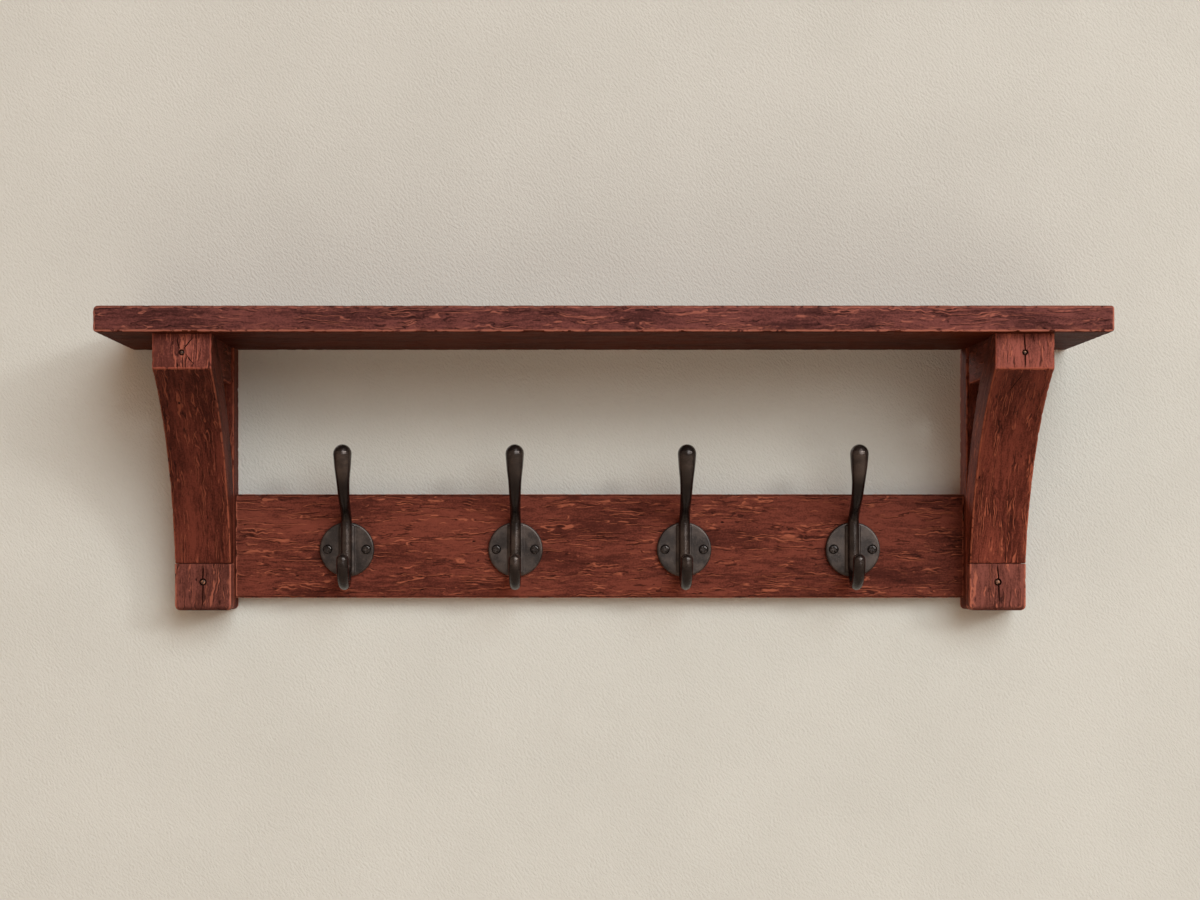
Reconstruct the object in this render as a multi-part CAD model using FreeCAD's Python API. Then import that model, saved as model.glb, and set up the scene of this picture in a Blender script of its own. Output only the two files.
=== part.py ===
import FreeCAD
import Part
import math
import os

# A wall shelf on two braced brackets, with a rail of coat and key hooks between them.
# Sizes are in millimetres. X runs along the shelf, +Y points into the wall and +Z is up.
# The origin is on the wall, midway between the two keyholes that the shelf hangs by.

Vector = FreeCAD.Vector
X_AXIS = Vector(1, 0, 0)
Y_AXIS = Vector(0, 1, 0)
Z_AXIS = Vector(0, 0, 1)

# Shelf board
shelf_length = 762.0
shelf_depth = 152.0
shelf_thickness = 20.0
shelf_edge_radius = 3.0

# Brackets as a pair
shelf_overhang = 42.0
bracket_height = 211.0
bracket_setback = 12.0
wood_edge_radius = 1.5
lower_end_radius = 4.0

# Post, the upright that lies against the wall
post_width = 45.0
post_depth = 25.0

# Arm, the level piece under the shelf
arm_width = 41.0
arm_height = 29.5

# Brace, with its square head under the shelf and its foot on the foot block
brace_width = 45.0
head_height = 26.5
head_length = 24.0
heel_height = 55.0
brace_front_radius = 224.0
brace_back_radius = 235.0

# Foot block, which carries the brace
foot_height = 37.5
foot_depth = 16.0

# Hook rail
rail_height = 84.0
rail_thickness = 16.0
rail_rise = 9.5
rail_edge_radius = 1.0

# Hook casting: a round plate, a stem, a tall prong above and a crook below
hook_count = 4
hook_end_gap = 90.0
hook_drop = 2.7
plate_radius = 22.0
plate_thickness = 3.5
plate_rim_radius = 1.2
band_width = 12.0
band_thickness = 1.2
band_margin = 0.8
bar_radius = 4.25
bar_standoff = 7.0
stem_top = 22.5
crook_radius = 16.0
crook_drop = 27.8
crook_ball_rise = 2.0
crook_ball_radius = 5.3
prong_lap = 0.5
prong_root_radius = 4.05
prong_reach = 40.5
prong_height = 76.0
prong_ball_radius = 7.0
neck_radius = 3.8

# The prong's line from the stem to its ball, and how far it has swelled from neck to ball
prong_reach_shares = (0.04, 0.22, 0.47, 0.70, 0.87, 0.96)
prong_rise_shares = (0.06, 0.17, 0.28, 0.43, 0.61, 0.80)
prong_swell_shares = (0.03, 0.0, 0.03, 0.10, 0.27, 0.66)
dome_angles = (25, 45, 62, 76, 85)

# Hook screws, two in each plate
hook_screw_spacing = 31.0
hook_screw_radius = 1.75
hook_screw_head_radius = 4.0
hook_screw_dome = 0.8
hook_screw_cover = 3.5
driver_slot_width = 1.0
driver_slot_length = 4.2
driver_slot_depth = 1.6

# Nails, one in each brace head and one in each foot block
nail_radius = 1.5
nail_head_thickness = 1.2
nail_sink = 0.6
nail_rim = 0.3
brace_nail_head_radius = 1.9
brace_nail_length = 52.0
brace_nail_drop = 14.2
foot_nail_head_radius = 2.6
foot_nail_cover = 6.0
foot_nail_drop = 14.7

# Screws and plugs that hold the shelf down on the arms
shelf_screw_radius = 2.1
shelf_screw_head_radius = 4.0
shelf_screw_cover = 3.5
shelf_screw_front = 60.0
shelf_screw_back = 18.0
plug_radius = 5.0
plug_thickness = 5.5

# Dowels between arm and post, and between rail and post
dowel_radius = 4.0
dowel_chamfer = 0.8
dowel_end_gap = 1.0
arm_dowel_spacing = 24.0
arm_dowel_in_post = 13.0
arm_dowel_in_arm = 19.0
rail_dowel_spacing = 48.0
rail_dowel_in_post = 17.0
rail_dowel_in_rail = 20.0

# Screw from the back of the post into the brace
brace_screw_height = 27.0
brace_screw_radius = 2.1
brace_screw_head_radius = 4.0
brace_screw_bite = 16.0
brace_screw_sink = 0.5

# Keyhole hanger let into the back of each post
hang_drop = 70.0
hanger_width = 22.0
hanger_below = 22.0
hanger_above = 32.0
hanger_corner_radius = 4.0
hanger_thickness = 2.0
keyhole_radius = 5.0
keyhole_slot_radius = 2.5
keyhole_slot_rise = 12.0
pocket_radius = 6.0
pocket_depth = 8.0
hanger_screw_edge = 6.0
hanger_screw_radius = 1.6
hanger_screw_head_radius = 3.2
hanger_screw_length = 14.0

# Clearances, the overrun of every cutting shape past the face that it cuts, and the
# distance within which two places count as one
hole_clearance = 0.05
seat_clearance = 0.1
point_gap = 0.5
overrun = 1.0
match_tolerance = 1e-6

# Levels and places that follow from the sizes
bracket_pitch = shelf_length - 2 * shelf_overhang - post_width
underside_z = hang_drop
shelf_top_z = underside_z + shelf_thickness
foot_z = underside_z - bracket_height
foot_top_z = foot_z + foot_height
bracket_front_y = bracket_setback - shelf_depth
post_front_y = -post_depth
foot_front_y = post_front_y - foot_depth
rail_front_y = -rail_thickness
rail_bottom_z = foot_z + rail_rise
rail_middle_z = rail_bottom_z + rail_height / 2
rail_end_x = (bracket_pitch - post_width) / 2
hook_pitch = 2 * (rail_end_x - hook_end_gap) / (hook_count - 1)
brace_nail_z = underside_z - brace_nail_drop
foot_nail_z = foot_top_z - foot_nail_drop
arm_middle_z = underside_z - arm_height / 2
brace_screw_z = foot_top_z + brace_screw_height


def block(x, y, z):
    """A box between three pairs of low and high values."""
    size = (x[1] - x[0], y[1] - y[0], z[1] - z[0])
    return Part.makeBox(*size, Vector(x[0], y[0], z[0]))


def rod(start, direction, length, radius):
    """A round bar from a point, along a unit direction."""
    return Part.makeCylinder(radius, length, start, direction)


def turned(profile, start, direction):
    """A solid turned from (radius, depth) points or arcs, set at a point along a direction."""
    edges = []
    for first, last in zip(profile, profile[1:] + profile[:1]):
        begin = Vector(first[0], 0, first[1])
        end = Vector(last[0], 0, last[1])
        if len(last) == 3:
            middle = Vector(last[2][0], 0, last[2][1])
            edges.append(Part.Arc(begin, middle, end).toShape())
        else:
            edges.append(Part.makeLine(begin, end))
    body = Part.Face(Part.Wire(edges)).revolve(Vector(0, 0, 0), Z_AXIS, 360)
    body.Placement = FreeCAD.Placement(start, FreeCAD.Rotation(Z_AXIS, direction))
    return body


def crown_point(radius, rise):
    """A point halfway out on a shallow dome, as its radius and its depth below the dome's top."""
    ball = (radius**2 + rise**2) / (2 * rise)
    return radius / 2, ball - math.sqrt(ball**2 - (radius / 2) ** 2)


def on_plane(value, place):
    """Whether a coordinate lies on a plane."""
    return abs(value - place) < match_tolerance


def edges_where(shape, test):
    """The edges of a shape whose two ends and middle all pass a test."""
    found = []
    for edge in shape.Edges:
        middle = edge.valueAt((edge.FirstParameter + edge.LastParameter) / 2)
        points = [vertex.Point for vertex in edge.Vertexes] + [middle]
        if all(test(point) for point in points):
            found.append(edge)
    return found


def edges_apart_from(shape, tests):
    """The edges of a shape that lie wholly on none of the faces that the tests describe."""
    left_out = [edge.hashCode() for test in tests for edge in edges_where(shape, test)]
    return [edge for edge in shape.Edges if edge.hashCode() not in left_out]


def wood_screw(start, direction, radius, head_radius, length, point_length):
    """A countersunk wood screw, from the flat of its head to its point."""
    cone = head_radius - radius
    profile = [
        (0, 0),
        (head_radius, 0),
        (radius, cone),
        (radius, length - point_length),
        (0, length),
    ]
    return turned(profile, start, direction)


def screw_hole(start, direction, radius, head_radius, length):
    """The countersunk hole for such a screw, open at the start."""
    wide = head_radius + seat_clearance
    narrow = radius + hole_clearance
    profile = [
        (0, -overrun),
        (wide, -overrun),
        (wide, 0),
        (narrow, wide - narrow),
        (narrow, length + point_gap),
        (0, length + point_gap),
    ]
    return turned(profile, start, direction)


def dowel(start, direction, length):
    """A round wooden pin with chamfered ends."""
    profile = [
        (0, 0),
        (dowel_radius - dowel_chamfer, 0),
        (dowel_radius, dowel_chamfer),
        (dowel_radius, length - dowel_chamfer),
        (dowel_radius - dowel_chamfer, length),
        (0, length),
    ]
    return turned(profile, start, direction)


def dowel_hole(start, direction, length):
    """The hole for a dowel, a little longer than the dowel at both ends."""
    begin = start - direction * dowel_end_gap
    return rod(begin, direction, length + 2 * dowel_end_gap, dowel_radius + hole_clearance)


def save(shape, node):
    """Writes one sub-part under its node name."""
    shape.exportStep("parts/" + node + ".step")


# The fixing points of the shelf, arms and rail, shared by the pieces that each fixing joins

def shelf_screw_places(centre_x):
    """The tops of the two screws that go down through the shelf into one arm."""
    level = shelf_top_z - plug_thickness
    front = Vector(centre_x, bracket_front_y + shelf_screw_front, level)
    back = Vector(centre_x, post_front_y - shelf_screw_back, level)
    return front, back


def shelf_screw_length():
    """From the head, under its plug, to a little above the arm's lower face."""
    return shelf_thickness - plug_thickness + arm_height - shelf_screw_cover


def arm_dowel_starts(centre_x):
    """The back ends of the two dowels between one arm and its post."""
    back_y = post_front_y + arm_dowel_in_post
    return [
        Vector(centre_x + side * arm_dowel_spacing / 2, back_y, arm_middle_z)
        for side in (-1, 1)
    ]


def rail_dowel_starts(side):
    """The inner ends of the two dowels between the rail and the post on one side."""
    inner_x = side * (rail_end_x - rail_dowel_in_rail)
    return [
        Vector(inner_x, -rail_thickness / 2, rail_middle_z + way * rail_dowel_spacing / 2)
        for way in (-1, 1)
    ]


def hook_screw_places(hook_x):
    """The centres of the two screws of one hook, on the front of its plate."""
    y = rail_front_y - plate_thickness
    return [
        Vector(hook_x + side * hook_screw_spacing / 2, y, hook_z)
        for side in (-1, 1)
    ]


hook_z = rail_middle_z - hook_drop
hook_xs = [hook_pitch * (index - (hook_count - 1) / 2) for index in range(hook_count)]
hook_screw_length = plate_thickness + rail_thickness - hook_screw_cover
arm_dowel_length = arm_dowel_in_post + arm_dowel_in_arm
rail_dowel_length = rail_dowel_in_post + rail_dowel_in_rail
brace_screw_length = post_depth + brace_screw_bite - brace_screw_sink
foot_nail_length = foot_depth + post_depth - foot_nail_cover - nail_sink


# Shelf: one board with softly rounded edges, and a counterbored hole over each arm screw

def shelf_board():
    x = (-shelf_length / 2, shelf_length / 2)
    board = block(x, (-shelf_depth, 0), (underside_z, shelf_top_z))
    board = board.makeFillet(shelf_edge_radius, board.Edges)
    for side in (-1, 1):
        for place in shelf_screw_places(side * bracket_pitch / 2):
            board = board.cut(rod(place, Z_AXIS, plug_thickness + overrun, plug_radius + hole_clearance))
            board = board.cut(
                screw_hole(place, -Z_AXIS, shelf_screw_radius, shelf_screw_head_radius, shelf_screw_length())
            )
    return board


def shelf_screws(centre_x):
    return [
        wood_screw(
            place,
            -Z_AXIS,
            shelf_screw_radius,
            shelf_screw_head_radius,
            shelf_screw_length(),
            2 * shelf_screw_radius,
        )
        for place in shelf_screw_places(centre_x)
    ]


def shelf_plugs(centre_x):
    return [rod(place, Z_AXIS, plug_thickness, plug_radius) for place in shelf_screw_places(centre_x)]


# Hanger: a flush steel plate with a keyhole, over a pocket for the wall screw's head

def hanger_outline(centre_x, grow):
    half = hanger_width / 2 + grow
    x = (centre_x - half, centre_x + half)
    plate = block(x, (-hanger_thickness, 0), (-hanger_below - grow, hanger_above + grow))
    faces = (lambda p: on_plane(p.y, 0), lambda p: on_plane(p.y, -hanger_thickness))
    return plate.makeFillet(hanger_corner_radius + grow, edges_apart_from(plate, faces))


def keyhole_shape(centre_x, depth, hole_radius, slot_radius):
    """A round hole with a slot that rises from it, cut forward from the wall plane."""
    start = Vector(centre_x, overrun, 0)
    rise = Vector(0, 0, keyhole_slot_rise)
    length = depth + overrun
    hole = rod(start, -Y_AXIS, length, hole_radius)
    top = rod(start + rise, -Y_AXIS, length, slot_radius)
    x = (centre_x - slot_radius, centre_x + slot_radius)
    slot = block(x, (-depth, overrun), (0, keyhole_slot_rise))
    return hole.fuse(top).fuse(slot).removeSplitter()


def hanger_screw_places(centre_x):
    return [
        Vector(centre_x, 0, hanger_screw_edge - hanger_below),
        Vector(centre_x, 0, hanger_above - hanger_screw_edge),
    ]


def hanger_screw_hole(place):
    return screw_hole(
        place, -Y_AXIS, hanger_screw_radius, hanger_screw_head_radius, hanger_screw_length
    )


def hanger_plate(centre_x):
    plate = hanger_outline(centre_x, 0)
    plate = plate.cut(keyhole_shape(centre_x, hanger_thickness + overrun, keyhole_radius, keyhole_slot_radius))
    for place in hanger_screw_places(centre_x):
        plate = plate.cut(hanger_screw_hole(place))
    return plate


def hanger_screws(centre_x):
    return [
        wood_screw(
            place,
            -Y_AXIS,
            hanger_screw_radius,
            hanger_screw_head_radius,
            hanger_screw_length,
            2 * hanger_screw_radius,
        )
        for place in hanger_screw_places(centre_x)
    ]


# Bracket: post, arm, brace and foot block

def brace_screw_start(centre_x):
    return Vector(centre_x, -brace_screw_sink, brace_screw_z)


def brace_screw_cut(centre_x):
    return screw_hole(
        brace_screw_start(centre_x),
        -Y_AXIS,
        brace_screw_radius,
        brace_screw_head_radius,
        brace_screw_length,
    )


def nail(centre_x, front_y, level, head_radius, length):
    """A round nail with a low domed head, sunk a little below the wood's face."""
    face = front_y + nail_sink
    crown = nail_head_thickness / 2
    profile = [
        (0, 0),
        (head_radius, crown, crown_point(head_radius, crown)),
        (head_radius, nail_head_thickness),
        (nail_radius, nail_head_thickness),
        (nail_radius, length - 2 * nail_radius),
        (0, length),
    ]
    return turned(profile, Vector(centre_x, face, level), Y_AXIS)


def nail_hole(centre_x, front_y, level, head_radius, length):
    face = front_y + nail_sink
    wide = head_radius + nail_rim
    narrow = nail_radius + hole_clearance
    floor = nail_head_thickness + hole_clearance
    profile = [
        (0, -nail_sink - overrun),
        (wide, -nail_sink - overrun),
        (wide, floor),
        (narrow, floor),
        (narrow, length + point_gap),
        (0, length + point_gap),
    ]
    return turned(profile, Vector(centre_x, face, level), Y_AXIS)


def brace_nail(centre_x):
    return nail(centre_x, bracket_front_y, brace_nail_z, brace_nail_head_radius, brace_nail_length)


def brace_nail_cut(centre_x):
    return nail_hole(centre_x, bracket_front_y, brace_nail_z, brace_nail_head_radius, brace_nail_length)


def foot_nail(centre_x):
    return nail(centre_x, foot_front_y, foot_nail_z, foot_nail_head_radius, foot_nail_length)


def foot_nail_cut(centre_x):
    return nail_hole(centre_x, foot_front_y, foot_nail_z, foot_nail_head_radius, foot_nail_length)


def post(centre_x, side):
    half = post_width / 2
    x = (centre_x - half, centre_x + half)
    body = block(x, (post_front_y, 0), (foot_z, underside_z))
    lower = edges_where(body, lambda p: on_plane(p.z, foot_z) and abs(p.x - centre_x) > half / 2)
    body = body.makeFillet(lower_end_radius, lower)
    corners = edges_where(
        body, lambda p: on_plane(p.y, post_front_y) and on_plane(abs(p.x - centre_x), half)
    )
    body = body.makeFillet(wood_edge_radius, corners)
    body = body.cut(hanger_outline(centre_x, seat_clearance))
    body = body.cut(keyhole_shape(centre_x, hanger_thickness + pocket_depth, pocket_radius, pocket_radius))
    for place in hanger_screw_places(centre_x):
        body = body.cut(hanger_screw_hole(place))
    for start in arm_dowel_starts(centre_x):
        body = body.cut(dowel_hole(start, -Y_AXIS, arm_dowel_length))
    for start in rail_dowel_starts(side):
        body = body.cut(dowel_hole(start, side * X_AXIS, rail_dowel_length))
    body = body.cut(brace_screw_cut(centre_x))
    return body.cut(foot_nail_cut(centre_x))


def foot_block(centre_x):
    half = post_width / 2
    x = (centre_x - half, centre_x + half)
    body = block(x, (foot_front_y, post_front_y), (foot_z, foot_top_z))
    sides = edges_where(body, lambda p: on_plane(p.z, foot_z) and on_plane(abs(p.x - centre_x), half))
    front = edges_where(body, lambda p: on_plane(p.z, foot_z) and on_plane(p.y, foot_front_y))
    body = body.makeFillet(lower_end_radius, sides + front)
    corners = edges_where(
        body, lambda p: on_plane(p.y, foot_front_y) and on_plane(abs(p.x - centre_x), half)
    )
    body = body.makeFillet(wood_edge_radius, corners)
    return body.cut(foot_nail_cut(centre_x))


def bowed_arc(start, end, radius):
    """An arc between two points of the side view, bowed towards the wall and up."""
    chord = end - start
    middle = (start + end) / 2
    normal = Vector(0, -chord.z, chord.y)
    if normal.y < 0:
        normal = -normal
    normal.normalize()
    rise = radius - math.sqrt(radius**2 - (chord.Length / 2) ** 2)
    return Part.Arc(start, middle + normal * rise, end).toShape()


def brace_prism(centre_x, width):
    """The brace's side view, drawn out to a width."""
    head_top = Vector(0, bracket_front_y, underside_z)
    head_lip = Vector(0, bracket_front_y, underside_z - head_height)
    toe = Vector(0, foot_front_y, foot_top_z)
    heel = Vector(0, post_front_y, foot_top_z)
    heel_top = Vector(0, post_front_y, foot_top_z + heel_height)
    head_back = Vector(0, bracket_front_y + head_length, underside_z)
    edges = [
        Part.makeLine(head_top, head_lip),
        bowed_arc(head_lip, toe, brace_front_radius),
        Part.makeLine(toe, heel),
        Part.makeLine(heel, heel_top),
        bowed_arc(heel_top, head_back, brace_back_radius),
        Part.makeLine(head_back, head_top),
    ]
    face = Part.Face(Part.Wire(edges))
    face.translate(Vector(centre_x - width / 2, 0, 0))
    return face.extrude(Vector(width, 0, 0))


def brace(centre_x):
    body = brace_prism(centre_x, brace_width)
    touching = (
        lambda p: on_plane(p.z, underside_z),
        lambda p: on_plane(p.z, foot_top_z),
        lambda p: on_plane(p.y, post_front_y),
    )
    body = body.makeFillet(wood_edge_radius, edges_apart_from(body, touching))
    body = body.cut(brace_nail_cut(centre_x))
    return body.cut(brace_screw_cut(centre_x))


def arm(centre_x):
    half = arm_width / 2
    x = (centre_x - half, centre_x + half)
    body = block(x, (bracket_front_y, post_front_y), (underside_z - arm_height, underside_z))
    pieces = body.cut(brace_prism(centre_x, post_width)).Solids
    body = max(pieces, key=lambda solid: solid.CenterOfMass.y)
    lower = edges_where(
        body,
        lambda p: on_plane(p.z, underside_z - arm_height) and on_plane(abs(p.x - centre_x), half),
    )
    body = body.makeFillet(wood_edge_radius, lower)
    for start in arm_dowel_starts(centre_x):
        body = body.cut(dowel_hole(start, -Y_AXIS, arm_dowel_length))
    for place in shelf_screw_places(centre_x):
        body = body.cut(
            screw_hole(place, -Z_AXIS, shelf_screw_radius, shelf_screw_head_radius, shelf_screw_length())
        )
    return body.cut(brace_nail_cut(centre_x))


# Rail: one board between the posts, flush with their backs

def hook_rail():
    x = (-rail_end_x, rail_end_x)
    body = block(x, (rail_front_y, 0), (rail_bottom_z, rail_bottom_z + rail_height))
    front = edges_where(
        body,
        lambda p: on_plane(p.y, rail_front_y) and on_plane(abs(p.z - rail_middle_z), rail_height / 2),
    )
    body = body.makeFillet(rail_edge_radius, front)
    for side in (-1, 1):
        for start in rail_dowel_starts(side):
            body = body.cut(dowel_hole(start, side * X_AXIS, rail_dowel_length))
    for hook_x in hook_xs:
        for place in hook_screw_places(hook_x):
            body = body.cut(
                screw_hole(place, Y_AXIS, hook_screw_radius, hook_screw_head_radius, hook_screw_length)
            )
    return body


# Hook: everything below is one casting

def hook_point(hook_x, reach, height):
    """A point of the hook, from its distance out of the rail and its height above the plate's centre."""
    return Vector(hook_x, rail_front_y - reach, hook_z + height)


def ring(centre, direction, radius):
    """A circle square to a direction in the side view, with its seam away from the plate."""
    circle = Part.makeCircle(radius)
    turn = FreeCAD.Rotation(X_AXIS.cross(direction), X_AXIS, direction, "XYZ")
    circle.Placement = FreeCAD.Placement(centre, turn)
    return Part.Wire(circle)


def stem_and_crook(hook_x):
    """The straight stem and the half ring below it, as one round bar, with a ball on the tip."""
    top = hook_point(hook_x, bar_standoff, stem_top)
    centre = hook_point(hook_x, bar_standoff + crook_radius, crook_radius - crook_drop)
    foot = centre + Y_AXIS * crook_radius
    tip = centre - Y_AXIS * crook_radius
    bend = Part.Arc(foot, centre - Z_AXIS * crook_radius, tip).toShape()
    path = Part.Wire([Part.makeLine(top, foot), bend])
    bar = path.makePipeShell([ring(top, -Z_AXIS, bar_radius)], True, False)
    return bar.fuse(Part.makeSphere(crook_ball_radius, tip + Z_AXIS * crook_ball_rise))


def prong(hook_x):
    """The prong, as one loft through rings across its line, closed by a domed end."""
    root = stem_top - prong_lap
    centres = [hook_point(hook_x, bar_standoff, root)]
    radii = [prong_root_radius]
    for reach_share, rise_share, swell in zip(prong_reach_shares, prong_rise_shares, prong_swell_shares):
        reach = bar_standoff + reach_share * (prong_reach - bar_standoff)
        height = root + rise_share * (prong_height - root)
        centres.append(hook_point(hook_x, reach, height))
        radii.append(neck_radius + swell * (prong_ball_radius - neck_radius))
    centres.append(hook_point(hook_x, prong_reach, prong_height))
    radii.append(prong_ball_radius)
    line = Part.BSplineCurve()
    line.interpolate(centres)
    ways = [Z_AXIS] + [line.tangent(line.parameter(centre))[0] for centre in centres[1:]]
    rings = [ring(*place) for place in zip(centres, ways, radii)]
    for angle in dome_angles:
        ahead = prong_ball_radius * math.sin(math.radians(angle))
        across = prong_ball_radius * math.cos(math.radians(angle))
        rings.append(ring(centres[-1] + ways[-1] * ahead, ways[-1], across))
    return Part.makeLoft(rings, True)


def hook(hook_x):
    back = Vector(hook_x, rail_front_y, hook_z)
    plate = rod(back, -Y_AXIS, plate_thickness, plate_radius)
    rim = edges_where(plate, lambda p: on_plane(p.y, rail_front_y - plate_thickness))
    plate = plate.makeFillet(plate_rim_radius, rim)
    half = band_width / 2
    band_front = rail_front_y - plate_thickness - band_thickness
    band = block(
        (hook_x - half, hook_x + half),
        (band_front, rail_front_y - plate_thickness / 2),
        (hook_z - plate_radius, hook_z + plate_radius),
    )
    inside = rod(back, -Y_AXIS, plate_thickness + band_thickness, plate_radius - plate_rim_radius - band_margin)
    bar = stem_and_crook(hook_x).fuse(prong(hook_x))
    casting = plate.fuse(band.common(inside)).fuse(bar)
    for place in hook_screw_places(hook_x):
        casting = casting.cut(
            screw_hole(place, Y_AXIS, hook_screw_radius, hook_screw_head_radius, hook_screw_length)
        )
    return casting


def hook_screw(place):
    """A wood screw with a raised countersunk head and a cross slot."""
    cone = hook_screw_head_radius - hook_screw_radius
    bulge, drop = crown_point(hook_screw_head_radius, hook_screw_dome)
    profile = [
        (0, -hook_screw_dome),
        (hook_screw_head_radius, 0, (bulge, drop - hook_screw_dome)),
        (hook_screw_radius, cone),
        (hook_screw_radius, hook_screw_length - 2 * hook_screw_radius),
        (0, hook_screw_length),
    ]
    screw = turned(profile, place, Y_AXIS)
    depth = (place.y - hook_screw_dome - overrun, place.y - hook_screw_dome + driver_slot_depth)
    long_half = driver_slot_length / 2
    thin_half = driver_slot_width / 2
    for half_x, half_z in ((long_half, thin_half), (thin_half, long_half)):
        x = (place.x - half_x, place.x + half_x)
        z = (place.z - half_z, place.z + half_z)
        screw = screw.cut(block(x, depth, z))
    return screw


os.makedirs("parts", exist_ok=True)

save(shelf_board(), "shelf_board")
save(hook_rail(), "hook_rail")

for side_name, side in (("left", -1), ("right", 1)):
    centre_x = side * bracket_pitch / 2
    save(post(centre_x, side), side_name + "_post")
    save(foot_block(centre_x), side_name + "_foot_block")
    save(brace(centre_x), side_name + "_brace")
    save(arm(centre_x), side_name + "_arm")
    save(brace_nail(centre_x), side_name + "_brace_nail")
    save(foot_nail(centre_x), side_name + "_foot_nail")
    brace_screw = wood_screw(
        brace_screw_start(centre_x),
        -Y_AXIS,
        brace_screw_radius,
        brace_screw_head_radius,
        brace_screw_length,
        2 * brace_screw_radius,
    )
    save(brace_screw, side_name + "_brace_screw")
    for place_name, screw, plug in zip(("front", "rear"), shelf_screws(centre_x), shelf_plugs(centre_x)):
        save(screw, side_name + "_shelf_screw_" + place_name)
        save(plug, side_name + "_shelf_plug_" + place_name)
    for number, start in enumerate(arm_dowel_starts(centre_x), 1):
        save(dowel(start, -Y_AXIS, arm_dowel_length), side_name + "_arm_dowel_" + str(number))
    for place_name, start in zip(("lower", "upper"), rail_dowel_starts(side)):
        save(dowel(start, side * X_AXIS, rail_dowel_length), side_name + "_rail_dowel_" + place_name)
    save(hanger_plate(centre_x), side_name + "_hanger_plate")
    for place_name, screw in zip(("lower", "upper"), hanger_screws(centre_x)):
        save(screw, side_name + "_hanger_screw_" + place_name)

for number, hook_x in enumerate(hook_xs, 1):
    name = "hook_" + str(number)
    save(hook(hook_x), name)
    for place_name, place in zip(("left", "right"), hook_screw_places(hook_x)):
        save(hook_screw(place), name + "_screw_" + place_name)
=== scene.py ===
import math

import bmesh
import bpy
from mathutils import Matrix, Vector


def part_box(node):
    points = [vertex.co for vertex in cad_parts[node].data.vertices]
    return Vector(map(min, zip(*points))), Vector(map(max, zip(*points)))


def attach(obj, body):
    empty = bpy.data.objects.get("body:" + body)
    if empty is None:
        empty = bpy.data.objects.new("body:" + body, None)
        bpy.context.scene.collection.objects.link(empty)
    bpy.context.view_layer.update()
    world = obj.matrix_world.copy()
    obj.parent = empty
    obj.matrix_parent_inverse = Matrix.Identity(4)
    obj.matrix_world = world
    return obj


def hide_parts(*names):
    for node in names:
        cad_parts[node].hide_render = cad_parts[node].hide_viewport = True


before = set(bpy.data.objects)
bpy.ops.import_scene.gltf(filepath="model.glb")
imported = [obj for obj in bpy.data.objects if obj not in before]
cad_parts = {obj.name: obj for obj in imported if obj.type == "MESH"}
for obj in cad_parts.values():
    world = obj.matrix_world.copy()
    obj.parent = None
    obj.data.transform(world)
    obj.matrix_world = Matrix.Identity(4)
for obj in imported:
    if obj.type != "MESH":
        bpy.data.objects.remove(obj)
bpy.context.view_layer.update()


# Shelf board. One plank of stained hardwood, its faces scraped by hand and its arrises eased and worn back
# to pale wood, with a painted highlight along them. It lies on the two arms, held by a screw under each plug.

SHELF_EDGE_RADIUS = 0.0025
SHELF_RULE = 0.0022
ROUND_STEPS = 3
NEAR = 1e-5
SKEW = 1e-6
SHARP_ANGLE = 25
SMOOTH_ANGLE = 50
OVERRUN = 0.002
PLUG_CLEARANCE = 0.0001
bracket_names = ("left", "right")


def deselect():
    bpy.ops.object.select_all(action="DESELECT")


def pick_up(piece):
    """Selects one piece only, and makes it the active one."""
    deselect()
    piece.select_set(True)
    bpy.context.view_layer.objects.active = piece


def settle(name):
    """Names the piece just added, and moves its place, turn and size into its mesh."""
    piece = bpy.context.object
    piece.name = name
    piece.data.name = name
    bpy.ops.object.transform_apply(location=True, rotation=True, scale=True)
    return piece


def add_block(name, low, high):
    """A squared block between two corners."""
    deselect()
    low, high = Vector(low), Vector(high)
    bpy.ops.mesh.primitive_cube_add(size=1, location=(low + high) / 2, scale=high - low)
    return settle(name)


def add_rod(name, start, end, radius, sides=48):
    """A round bar from one point to another, along an axis of the frame."""
    deselect()
    start, end = Vector(start), Vector(end)
    along = end - start
    turn = Vector((0, 0, 1)).rotation_difference(along).to_euler()
    bpy.ops.mesh.primitive_cylinder_add(
        vertices=sides, radius=radius, depth=along.length, location=(start + end) / 2, rotation=turn
    )
    return settle(name)


def centre_of(node):
    low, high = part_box(node)
    return (low + high) / 2


def open_mesh(piece, kind, action="DESELECT"):
    """Puts a piece in edit mode with nothing or everything selected, to pick verts, edges or faces."""
    pick_up(piece)
    bpy.ops.object.mode_set(mode="EDIT")
    bpy.ops.mesh.select_mode(type=kind)
    bpy.ops.mesh.select_all(action=action)


def close_mesh():
    bpy.ops.object.mode_set(mode="OBJECT")


def pick_edges(piece, test, sharp=False):
    """Selects the edges, or only the sharp edges, whose two ends pass a test."""
    if sharp:
        bpy.ops.mesh.edges_select_sharp(sharpness=math.radians(SHARP_ANGLE))
    mesh = bmesh.from_edit_mesh(piece.data)
    open_to_choice = [edge for edge in mesh.edges if edge.select or not sharp]
    chosen = {edge for edge in open_to_choice if test(edge.verts[0].co, edge.verts[1].co)}
    for edge in mesh.edges:
        edge.select_set(edge in chosen)
    bmesh.update_edit_mesh(piece.data)


def runs_along(axis):
    """A test for edges that lie along one axis of the frame."""
    others = [other for other in range(3) if other != axis]
    return lambda a, b: all(abs(a[other] - b[other]) < SKEW for other in others)


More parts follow.
